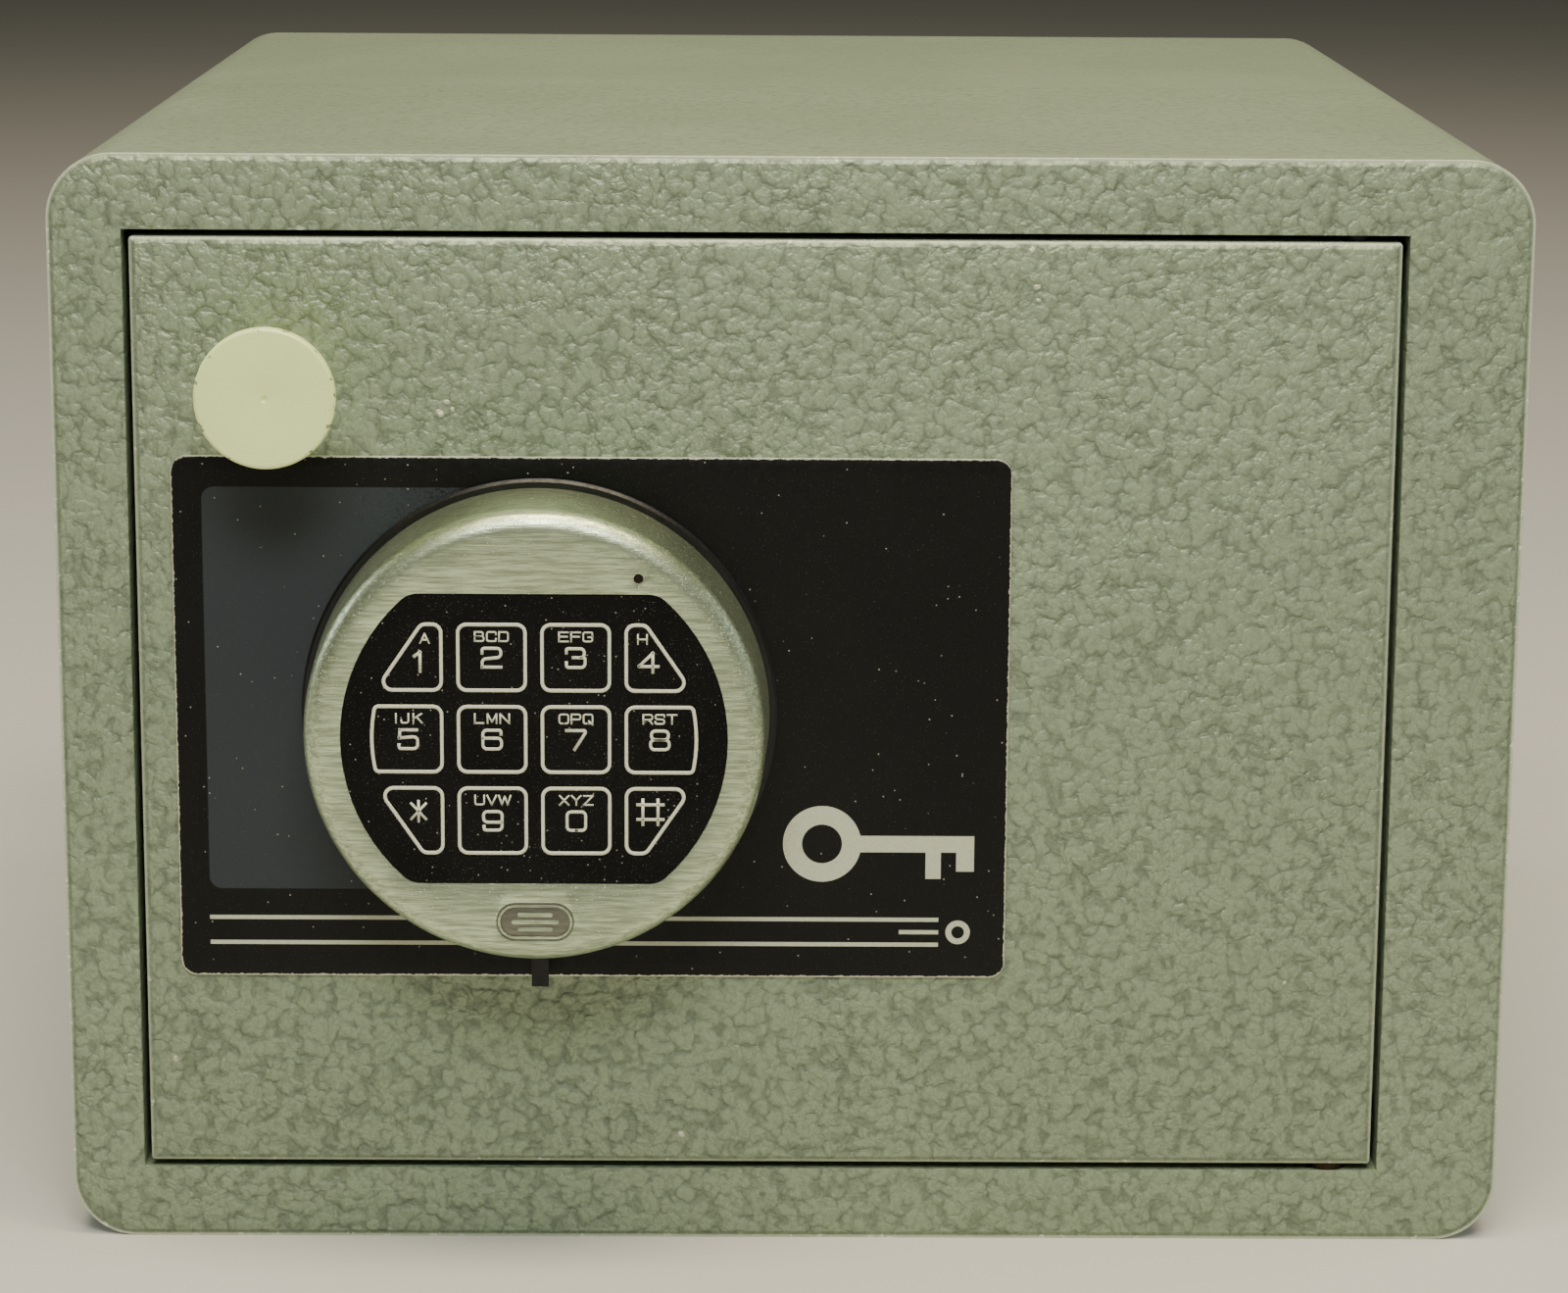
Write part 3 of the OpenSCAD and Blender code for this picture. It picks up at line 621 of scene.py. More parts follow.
def grime_effect() -> bpy.types.NodeTree:
    """Soft uneven patches from handling, for colour and roughness."""
    graph, given, out = new_effect(Effect.GRIME, {"Place": (0.0, 0.0, 0.0), "Scale": 20.0}, ("Mask", "Fine"))
    scale = given.outputs["Scale"]
    broad = graph.add("TexNoise", {"Vector": given.outputs["Place"], "Scale": scale, "Detail": 4.0})
    fine_scale = graph.math("MULTIPLY", scale, 14.0)
    fine = graph.add("TexNoise", {"Vector": given.outputs["Place"], "Scale": fine_scale, "Detail": 3.0})
    graph.tree.links.new(graph.step(broad.outputs["Fac"], 0.35, 0.65), out.inputs["Mask"])
    graph.tree.links.new(graph.step(fine.outputs["Fac"], 0.4, 0.7), out.inputs["Fine"])
    return graph.tree


EFFECT_MAKERS: dict[Effect, Callable[[], bpy.types.NodeTree]] = {
    Effect.HAMMER: hammer_effect,
    Effect.GRAIN: grain_effect,
    Effect.DUST: dust_effect,
    Effect.RIM: rim_effect,
    Effect.GRIME: grime_effect,
}


class Slot(Enum):
    """The record's material slots that new pieces take."""

    PAINT = "hammered_paint"
    CARPET = "carpet"
    LABEL = "label_black"
    PLASTIC = "black_plastic"
    NICKEL = "satin_nickel"
    OVERLAY = "overlay_black"
    KNOB = "knob_aluminium"
    BATTERY = "battery_case"


class Grain(Enum):
    """The way the scratches run on a metal surface, as the stretch of its pattern."""

    ALONG_X = (16.0, 1.0, 1.0)
    ALONG_Y = (1.0, 16.0, 1.0)
    ALONG_Z = (1.0, 1.0, 16.0)
    CAST = (1.0, 1.0, 1.0)


@dataclass(frozen=True)
class Finish:
    """A finish: one material with its own nodes."""

    name: str

    def material(self) -> bpy.types.Material:
        """The finish's material, made the first time it is asked for."""
        made = bpy.data.materials.get(self.name)
        if made is None:
            made = bpy.data.materials.new(self.name)
            made.use_nodes = True
            made.node_tree.nodes.clear()
            graph = Graph(made.node_tree)
            shader = graph.add("BsdfPrincipled")
            graph.add("OutputMaterial", {"Surface": shader.outputs[0]})
            self.dress(graph, shader)
        return made

    def dress(self, graph: Graph, shader: bpy.types.Node) -> None:
        """Sets the shader's sockets and links the patterns into them."""
        raise NotImplementedError

    @staticmethod
    def fill(graph: Graph, shader: bpy.types.Node, sockets: dict[str, Value]) -> None:
        """Fills or links the shader's sockets by name."""
        for key, value in sockets.items():
            if isinstance(value, bpy.types.NodeSocket):
                graph.tree.links.new(value, shader.inputs[key])
            else:
                shader.inputs[key].default_value = value

    @staticmethod
    def bump(graph: Graph, height: Value, distance: float) -> Socket:
        """Turns a height into a surface normal, with the distance in metres."""
        return graph.add("Bump", {"Height": height, "Distance": distance, "Strength": 1.0}).outputs[0]


@dataclass(frozen=True)
class HammeredEnamel(Finish):
    """Grey-green hammered enamel on steel, with chips and a paler band along an outer rim where one is given;
    the band is partly worn enamel and partly a painted highlight.
    """

    shift: tuple[float, float, float] = (0.0, 0.0, 0.0)
    contrast: float = 1.0
    relief: float = 0.58 * MM
    light: str = "94a488"
    middle: str = "83937a"
    # Valley colour: partly the enamel's own tone, partly painted shade in the hollows between the domes.
    valley: str = "636f5d"
    # Rim colour: partly worn enamel, partly a painted highlight on the rounded front edge.
    worn: str = "c3ccb4"
    rim_centre: tuple[float, float, float] = (0.0, 0.0, 0.0)
    rim_half: tuple[float, float, float] = (9.0, 9.0, 9.0)
    rim_corner: float = 15 * MM
    worn_depth: float = 1.6 * MM
    valley_depth: float = 0.6

    def dress(self, graph: Graph, shader: bpy.types.Node) -> None:
        """Mixes flake tones and darker valleys (partly painted shade), raises the domes, chips the rim and
        pales it (partly a painted highlight).
        """
        here = graph.here()
        moved_here = graph.placed(here, self.shift)
        hammer = graph.group(Effect.HAMMER.tree(), Place=moved_here, Cells=350.0)
        grime = graph.group(Effect.GRIME.tree(), Place=moved_here, Scale=9.0)
        tone = graph.math("MULTIPLY", hammer.outputs["Tone"], 0.8 * self.contrast)
        tone = graph.math("ADD", tone, graph.math("MULTIPLY", grime.outputs["Fine"], 0.2 * self.contrast))
        colour = graph.mix(tone, srgb(self.middle), srgb(self.light))
        from_rim = graph.placed(here, self.rim_centre)
        depth = graph.add("SeparateXYZ", {0: from_rim}).outputs["Y"]
        rim = graph.group(Effect.RIM.tree(), Place=from_rim, Half=self.rim_half, Corner=self.rim_corner)
        behind = graph.step(depth, self.worn_depth, 1.5 * self.worn_depth)
        inside = graph.math("ADD", rim.outputs["Inside"], behind)
        # Darker colour in the valleys: partly the enamel's own pattern, partly painted shade in the hollows
        # between the domes.
        valleys = graph.math("MULTIPLY", hammer.outputs["Valley"], self.valley_depth * self.contrast)
        valleys = graph.math("MULTIPLY", valleys, graph.step(behind, 0.0, 1.0, 1.0, 0.6))
        colour = graph.mix(valleys, colour, srgb(self.valley))
        spots = graph.noise(here, 420, 3, 0.65).outputs["Fac"]
        near = graph.step(inside, 0.2 * MM, 1.6 * MM, 0.0, 0.16)
        chip = graph.step(graph.math("SUBTRACT", spots, near), 0.58, 0.62)
        chip = graph.math("MULTIPLY", chip, graph.step(inside, 1.6 * MM, 1.9 * MM, 1.0, 0.0))
        # Paler band along the rim: partly worn enamel, partly a painted highlight on the rounded front edge.
        edge = graph.step(inside, 0.2 * MM, 1.0 * MM, 1.0, 0.0)
        colour = graph.mix(graph.math("MULTIPLY", edge, 0.8), colour, srgb(self.worn))
        colour = graph.mix(graph.math("MULTIPLY", chip, 0.8), colour, srgb("d8dccb"))
        rough = graph.step(grime.outputs["Mask"], 0.0, 1.0, 0.42, 0.49)
        rough = graph.math("ADD", rough, graph.math("MULTIPLY", hammer.outputs["Valley"], 0.1))
        flat = graph.step(inside, 0.5 * MM, 1.7 * MM, 0.2, 1.0)
        height = graph.math("MULTIPLY", hammer.outputs["Height"], flat)
        height = graph.math("MULTIPLY", height, graph.step(behind, 0.0, 1.0, 1.0, 0.6))
        height = graph.math("SUBTRACT", height, graph.math("MULTIPLY", chip, 0.3))
        self.fill(graph, shader, {
            "Base Color": colour,
            "Metallic": 0.3,
            "Roughness": rough,
            "Normal": self.bump(graph, height, self.relief),
        })


@dataclass(frozen=True)
class GrainedMetal(Finish):
    """Bare or plated metal with a grain, handling marks and specks of dust or salt."""

    colour: str
    dark: str
    grain: Grain = Grain.CAST
    rough: float = 0.3
    relief: float = 0.02 * MM
    density: float = 1.0
    marks: float = 0.5
    specks: float = 0.0

    def dress(self, graph: Graph, shader: bpy.types.Node) -> None:
        """Runs streaks along the grain and dulls the metal where it is handled."""
        here = graph.here()
        stretched = graph.placed(here, scale=self.grain.value)
        grain = graph.group(Effect.GRAIN.tree(), Place=stretched, Density=self.density)
        grime = graph.group(Effect.GRIME.tree(), Place=here, Scale=60.0)
        dust = graph.group(Effect.DUST.tree(), Place=here, Amount=self.specks)
        streaks = graph.math("MULTIPLY", grain.outputs["Streak"], 0.6)
        colour = graph.mix(streaks, srgb(self.colour), srgb(self.dark))
        soil = graph.math("MULTIPLY", grime.outputs["Mask"], self.marks * 0.35)
        colour = graph.mix(soil, colour, srgb(self.dark))
        colour = graph.mix(graph.math("MULTIPLY", dust.outputs["Mask"], 0.8), colour, srgb("e9ecd9"))
        rough = graph.math("ADD", graph.math("MULTIPLY", grain.outputs["Streak"], 0.1), self.rough)
        rough = graph.math("ADD", rough, graph.math("MULTIPLY", grime.outputs["Fine"], 0.06 * self.marks))
        height = graph.math("ADD", grain.outputs["Height"], graph.math("MULTIPLY", dust.outputs["Mask"], 3.0))
        self.fill(graph, shader, {
            "Base Color": colour,
            "Metallic": graph.math("SUBTRACT", 0.95, graph.math("MULTIPLY", dust.outputs["Mask"], 0.6)),
            "Roughness": rough,
            "Normal": self.bump(graph, height, self.relief),
        })


@dataclass(frozen=True)
class Moulding(Finish):
    """Moulded plastic, rubber or enamel of one colour with a fine texture."""

    colour: str
    rough: float = 0.45
    texture: float = 0.03 * MM
    scale: float = 2200.0
    dust: float = 0.3
    gloss: float = 0.35

    def dress(self, graph: Graph, shader: bpy.types.Node) -> None:
        """Adds a fine moulded texture, uneven gloss and a little dust."""
        here = graph.here()
        grime = graph.group(Effect.GRIME.tree(), Place=here, Scale=45.0)
        dust = graph.group(Effect.DUST.tree(), Place=here, Amount=self.dust)
        base = srgb(self.colour)
        worn = tuple(min(1.0, c * 1.4 + 0.004) for c in base[:3]) + (1.0,)
        colour = graph.mix(graph.math("MULTIPLY", grime.outputs["Mask"], 0.4), base, worn)
        colour = graph.mix(graph.math("MULTIPLY", dust.outputs["Mask"], 0.6), colour, srgb("b9b8ac"))
        rough = graph.math("ADD", graph.math("MULTIPLY", grime.outputs["Fine"], 0.12), self.rough)
        height = graph.noise(here, self.scale, 3).outputs["Fac"]
        self.fill(graph, shader, {
            "Base Color": colour,
            "Roughness": rough,
            "Specular IOR Level": self.gloss,
            "Normal": self.bump(graph, height, self.texture),
        })


@dataclass(frozen=True)
class LabelFilm(Finish):
    """Matt black printed aluminium plate with a shaded panel and a chipped rim."""

    centre: tuple[float, float, float] = (0.0, 0.0, 0.0)
    half: tuple[float, float, float] = (0.1, 0.0, 0.1)
    shade_centre: tuple[float, float, float] = (0.0, 0.0, 0.0)
    shade_half: tuple[float, float, float] = (0.05, 0.0, 0.05)
    corner: float = 3.8 * MM

    def dress(self, graph: Graph, shader: bpy.types.Node) -> None:
        """Prints the black ground and the shaded panel, then chips the rim."""
        here = graph.here()
        rim = graph.group(
            Effect.RIM.tree(), Place=graph.placed(here, self.centre), Half=self.half, Corner=self.corner
        )
        local = graph.placed(here, self.shade_centre)
        window = graph.group(Effect.RIM.tree(), Place=local, Half=self.shade_half, Corner=3.0 * MM)
        dots = graph.add("TexVoronoi", {"Vector": here, "Scale": 1500.0}).outputs["Distance"]
        across = graph.add("SeparateXYZ", {0: local}).outputs["X"]
        fade = graph.step(across, -self.shade_half[0], 1.05 * self.shade_half[0], 1.0, 0.0)
        screen = graph.step(graph.math("SUBTRACT", fade, graph.math("MULTIPLY", dots, 0.5)), 0.0, 0.5)
        printed = graph.math("MULTIPLY", graph.step(window.outputs["Inside"], 0.0, 0.25 * MM), screen)
        grime = graph.group(Effect.GRIME.tree(), Place=here, Scale=30.0)
        ground = graph.mix(graph.math("MULTIPLY", grime.outputs["Mask"], 0.5), srgb("080908"), srgb("0e100e"))
        colour = graph.mix(printed, ground, srgb("30363a"))
        dust = graph.group(Effect.DUST.tree(), Place=here, Amount=0.5)
        colour = graph.mix(graph.math("MULTIPLY", dust.outputs["Mask"], 0.75), colour, srgb("b7b6a6"))
        ragged = graph.math("MULTIPLY", graph.noise(here, 900, 4, 0.7).outputs["Fac"], 1.1 * MM)
        from_ragged = graph.math("SUBTRACT", rim.outputs["Inside"], ragged)
        chip = graph.step(from_ragged, -0.25 * MM, -0.15 * MM, 1.0, 0.0)
        colour = graph.mix(chip, colour, srgb("c9ccb6"))
        rough = graph.math("ADD", graph.math("MULTIPLY", grime.outputs["Fine"], 0.1), 0.42)
        self.fill(graph, shader, {
            "Base Color": colour,
            "Metallic": graph.math("MULTIPLY", chip, 0.8),
            "Roughness": rough,
            "Specular IOR Level": 0.2,
            "Normal": self.bump(graph, graph.noise(here, 1900, 2).outputs["Fac"], 0.02 * MM),
        })


@dataclass(frozen=True)
class TurnedMetal(Finish):
    """Metal with fine turning marks about an axis along Y."""

    colour: str
    dark: str
    centre: tuple[float, float, float] = (0.0, 0.0, 0.0)
    rough: float = 0.35
    metallic: float = 0.9
    relief: float = 0.012 * MM
    nick_radius: float = 1.0

    def dress(self, graph: Graph, shader: bpy.types.Node) -> None:
        """Rings the surface about its axis and nicks the rim at a radius."""
        here = graph.here()
        spokes = graph.vector("MULTIPLY", graph.placed(here, self.centre), (1.0, 0.0, 1.0))
        radius = graph.vector("LENGTH", spokes)
        ring = graph.add("CombineXYZ", {0: graph.math("MULTIPLY", radius, 3800.0)}).outputs[0]
        rings = graph.add("TexNoise", {"Vector": ring, "Scale": 1.0, "Detail": 3.0}).outputs["Fac"]
        grime = graph.group(Effect.GRIME.tree(), Place=here, Scale=50.0)
        colour = graph.mix(graph.step(rings, 0.3, 0.75, 0.0, 0.35), srgb(self.colour), srgb(self.dark))
        colour = graph.mix(graph.math("MULTIPLY", grime.outputs["Mask"], 0.18), colour, srgb(self.dark))
        spots = graph.noise(here, 330, 3, 0.6).outputs["Fac"]
        near = graph.step(radius, self.nick_radius - 2.2 * MM, self.nick_radius - 0.3 * MM, 0.0, 0.16)
        nick = graph.step(graph.math("ADD", spots, near), 0.74, 0.77)
        colour = graph.mix(graph.math("MULTIPLY", nick, 0.75), colour, srgb("57594c"))
        rough = graph.math("ADD", graph.math("MULTIPLY", rings, 0.1), self.rough)
        rough = graph.math("ADD", rough, graph.math("MULTIPLY", grime.outputs["Fine"], 0.05))
        self.fill(graph, shader, {
            "Base Color": colour,
            "Metallic": self.metallic,
            "Roughness": rough,
            "Normal": self.bump(graph, rings, self.relief),
        })


@dataclass(frozen=True)
class Ink(Finish):
    """Screen-printed ink."""

    colour: str

    def dress(self, graph: Graph, shader: bpy.types.Node) -> None:
        """Gives the ink slightly uneven cover."""
        here = graph.here()
        cover = graph.noise(here, 1600, 3, 0.7).outputs["Fac"]
        base = srgb(self.colour)
        thin = tuple(0.8 * c for c in base[:3]) + (1.0,)
        self.fill(graph, shader, {
            "Base Color": graph.mix(graph.step(cover, 0.4, 0.7, 0.0, 0.7), base, thin),
            "Roughness": graph.step(cover, 0.3, 0.7, 0.42, 0.52),
            "Normal": self.bump(graph, cover, 0.006 * MM),
        })


@dataclass(frozen=True)
class Felt(Finish):
    """Charcoal needle-punched felt."""

    def dress(self, graph: Graph, shader: bpy.types.Node) -> None:
        """Mixes dark and pale fibres and lifts them."""
        here = graph.here()
        fibres = graph.noise(graph.placed(here, scale=(1.0, 3.0, 1.0)), 2400, 4, 0.7).outputs["Fac"]
        crossing = graph.noise(graph.placed(here, scale=(3.0, 1.0, 1.0)), 2100, 4, 0.7).outputs["Fac"]
        both = graph.math("MAXIMUM", fibres, crossing)
        colour = graph.mix(graph.step(both, 0.42, 0.75), srgb("26282a"), srgb("5c5f61"))
        self.fill(graph, shader, {
            "Base Color": colour,
            "Roughness": 0.95,
            "Sheen Weight": 0.35,
            "Sheen Roughness": 0.5,
            "Normal": self.bump(graph, both, 0.5 * MM),
        })


@dataclass(frozen=True)
class BoardLaminate(Finish):
    """Green circuit board laminate with tracks under the lacquer."""

    def dress(self, graph: Graph, shader: bpy.types.Node) -> None:
        """Draws lighter tracks through the lacquer."""
        here = graph.here()
        tracks = graph.add("TexVoronoi", {"Vector": here, "Scale": 260.0}, feature="F1", distance="MANHATTAN")
        lines = graph.step(graph.math("PINGPONG", tracks.outputs["Distance"], 0.12), 0.03, 0.05)
        self.fill(graph, shader, {
            "Base Color": graph.mix(lines, srgb("3d7a48"), srgb("255434")),
            "Roughness": 0.3,
            "Normal": self.bump(graph, lines, 0.03 * MM),
        })


@dataclass(frozen=True)
class RedLens(Finish):
    """Dark red moulded lens of the indicator."""

    def dress(self, graph: Graph, shader: bpy.types.Node) -> None:
        """Clouds the lens slightly."""
        cloud = graph.noise(graph.here(), 900, 2).outputs["Fac"]
        self.fill(graph, shader, {
            "Base Color": graph.mix(cloud, srgb("0d0404"), srgb("1c0706")),
            "Roughness": graph.step(cloud, 0.3, 0.7, 0.15, 0.3),
            "Specular IOR Level": 0.2,
        })


@dataclass(frozen=True)
class Backdrop(Finish):
    """Plain pale floor."""

    def dress(self, graph: Graph, shader: bpy.types.Node) -> None:
        """Keeps the floor plain, with the faintest unevenness."""
        cloud = graph.noise(graph.here(), 1.5, 2).outputs["Fac"]
        self.fill(graph, shader, {
            "Base Color": graph.mix(cloud, srgb("c9c8c1"), srgb("c4c3bc")),
            "Roughness": 0.75,
        })


WRAP_ENAMEL = HammeredEnamel("hammered enamel, wrap", contrast=0.6, relief=0.35 * MM)
INNER_ENAMEL = HammeredEnamel(
    "hammered enamel, inside", shift=(0.7, 0.1, 0.4), contrast=0.7, relief=0.45 * MM
)
NIB_ENAMEL = HammeredEnamel("enamel nibs", contrast=0.3, light="c8ccb4", middle="babea7")
STEEL = GrainedMetal("bright steel", "b5b7b6", "7d7f80", Grain.ALONG_X, 0.28)
# Hinge pins coloured near black as painted shade: they stand for the dark of the door gap.
GAP_SHADE_PIN = GrainedMetal("shade_darkened steel pin", "34363a", "1d1f22", Grain.ALONG_Z, 0.4)
POST_STEEL = GrainedMetal("turned steel post", "a4a6a6", "6f7172", Grain.ALONG_Y, 0.35)
ZINC = GrainedMetal("yellow zinc plate", "c2b98e", "8f8a72", Grain.CAST, 0.36, 0.015 * MM, 0.25, 1.0)
BRASS = GrainedMetal("brass", "c3a160", "8a6c39", Grain.ALONG_Y, 0.3)
# Hinge washer coloured dark as painted shade, standing for the dark of the door gap.
GAP_SHADE_BRONZE = GrainedMetal("dark gap_shaded bronze", "3a3024", "1f1a14", Grain.ALONG_Z, 0.45)
COPPER = GrainedMetal("copper winding", "a8673c", "6e3d22", Grain.ALONG_X, 0.4, 0.08 * MM, 0.4)
NICKEL = GrainedMetal("satin nickel", "cfdfbf", "5c6652", Grain.ALONG_X, 0.31, 0.1 * MM, 0.38, 0.5, 1.8)
BADGE_NICKEL = GrainedMetal("darkened nickel", "85877a", "55574e", Grain.ALONG_X, 0.38)
BLACK_PLASTIC = Moulding("black plastic", "0d0e0e", 0.42)
RING_PLASTIC = Moulding("black base ring", "0e0f0f", 0.34, 0.015 * MM)
SILICONE = Moulding("grey silicone", "5f6264", 0.6, 0.02 * MM)
OVERLAY = Moulding("black membrane film", "050605", 0.42, 0.012 * MM, 2600.0, 1.3, 0.12)
BATTERY_BLACK = Moulding("battery jacket", "202225", 0.3, 0.01 * MM)
BOARD = BoardLaminate("board laminate")
LENS = RedLens("red lens")
LABEL_INK = Ink("pale label ink", "b9bfa8")
KEY_INK = Ink("pale key ink", "d6dbc4")
FELT = Felt("charcoal felt")
FLOOR = Backdrop("pale floor")


def rimmed_enamel(name: str, node: str, corner: float) -> HammeredEnamel:
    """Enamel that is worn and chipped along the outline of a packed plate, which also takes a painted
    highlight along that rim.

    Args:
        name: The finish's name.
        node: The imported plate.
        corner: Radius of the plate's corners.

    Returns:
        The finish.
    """
    lo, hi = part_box(node)
    centre = (lo + hi) / 2
    half = (hi - lo) / 2
    return HammeredEnamel(
        name,
        shift=(2.0 * corner, 0.2, 0.13),
        rim_centre=(centre.x, lo.y, centre.z),
        rim_half=(half.x, 0.0, half.z),
        rim_corner=corner,
    )


def dress_piece(obj: bpy.types.Object, finish: Finish) -> bpy.types.Object:
    """Gives a new piece its one finish."""
    obj.data.materials.clear()
    obj.data.materials.append(finish.material())
    return obj


def dress_node(name: str, finish: Finish) -> None:
    """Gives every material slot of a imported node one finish."""
    for holder in bpy.data.objects[name].material_slots:
        holder.material = finish.material()


def dress_nodes(finishes: dict[str, Finish]) -> None:
    """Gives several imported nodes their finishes."""
    for name, finish in finishes.items():
        dress_node(name, finish)
        log.info("packed node %s keeps its shape and takes %s", name, finish.name)


def fit(obj: bpy.types.Object, body: str, *nodes: str) -> bpy.types.Object:
    """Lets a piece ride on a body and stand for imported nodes."""
    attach(obj, body)
    if nodes:
        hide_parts(*nodes)
    log.info("%s rides on %s%s", obj.name, body, f" for {', '.join(nodes)}" if nodes else "")
    return obj


# ------------------------------------------------------------------- studio


@dataclass(frozen=True)
class Softbox:
    """One rectangular soft light.

    Attributes:
        name: The light's name.
        place: Where it hangs.
        aim: The point that it faces.
        size: Its width and height.
        power: Its power in watts.
        tint: The colour of its light.
    """

    name: str
    place: tuple[float, float, float]
    aim: tuple[float, float, float]
    size: tuple[float, float]
    power: float
    tint: str

    def hang(self) -> None:
        """Hangs the light and turns it to its aim."""
        light = bpy.data.lights.new(self.name, "AREA")
        light.shape = "RECTANGLE"
        light.size, light.size_y = self.size
        light.energy = self.power
        light.color = srgb(self.tint)[:3]
        obj = bpy.data.objects.new(self.name, light)
        bpy.context.collection.objects.link(obj)
        obj.location = self.place
        facing = Vector(self.aim) - Vector(self.place)
        obj.rotation_euler = facing.to_track_quat("-Z", "Y").to_euler()


SOFTBOXES = (
    Softbox("front softbox", (-0.05, -1.3, 1.3), (0.0, -0.15, 0.12), (0.8, 0.45), 21, "fffdf6"),
    Softbox("overhead strip", (0.08, -0.5, 1.6), (0.02, -0.15, 0.2), (1.2, 0.5), 30, "ffeccb"),
    Softbox("right fill", (1.9, -1.0, 0.7), (0.0, 0.0, 0.12), (0.9, 0.9), 2, "f2f6ff"),
    Softbox("left side", (-2.0, 0.5, 0.9), (0.0, 0.1, 0.12), (1.2, 0.9), 15, "ffffff"),
    Softbox("right side", (2.0, 0.5, 0.9), (0.0, 0.1, 0.12), (1.2, 0.9), 15, "ffffff"),
    Softbox("back", (0.3, 1.9, 2.2), (0.0, 0.1, 0.12), (1.6, 0.7), 11, "ffe8c4"),
)


@dataclass
class Studio:
    """Floor, soft light and camera, with angles in degrees."""

    eye: tuple[float, float, float] = (-0.0091, -1.1715, 0.3618)
    turn: float = 0.461
    dip: float = 12.33
    roll: float = 0.366
    lens: float = 100.04
    sensor: float = 36
    floor_half: float = 9.0
    floor_depth: float = 0.05
    room_tint: str = "c6c8b6"
    room_strength: float = 0.11

    def build(self) -> None:
        """Sets up everything round the object."""
        self.make_camera()
        self.make_floor()
        for softbox in SOFTBOXES:
            softbox.hang()
        self.make_world()

    def make_camera(self) -> None:
        """Places the camera by its turn, dip and roll."""
        turn, dip, roll = (math.radians(a) for a in (self.turn, self.dip, self.roll))
        ahead = Vector((math.sin(turn) * math.cos(dip), math.cos(turn) * math.cos(dip), -math.sin(dip)))
        right = Vector((math.cos(turn), -math.sin(turn), 0))
        up = right.cross(ahead)
        side = right * math.cos(roll) + up * math.sin(roll)
        top = up * math.cos(roll) - right * math.sin(roll)
        camera = bpy.data.cameras.new("camera")
        camera.lens = self.lens
        camera.sensor_width = self.sensor
        obj = bpy.data.objects.new("camera", camera)
        bpy.context.collection.objects.link(obj)
        axes = Matrix((side, top, -ahead)).transposed().to_4x4()
        obj.matrix_world = Matrix.Translation(self.eye) @ axes
        bpy.context.scene.camera = obj

    def make_floor(self) -> None:
        """Lays a wide floor under the object."""
        half = self.floor_half
        floor = add_box("floor", (-half, -half, -self.floor_depth), (half, half, 0))
        dress_piece(floor, FLOOR)

    def make_world(self) -> None:
        """Fills the room with an even warm grey."""
        world = bpy.data.worlds.new("room")
        world.use_nodes = True
        ground = world.node_tree.nodes["Background"]
        ground.inputs["Color"].default_value = srgb(self.room_tint)
        ground.inputs["Strength"].default_value = self.room_strength
        bpy.context.scene.world = world


# ------------------------------------------------------------------ cabinet


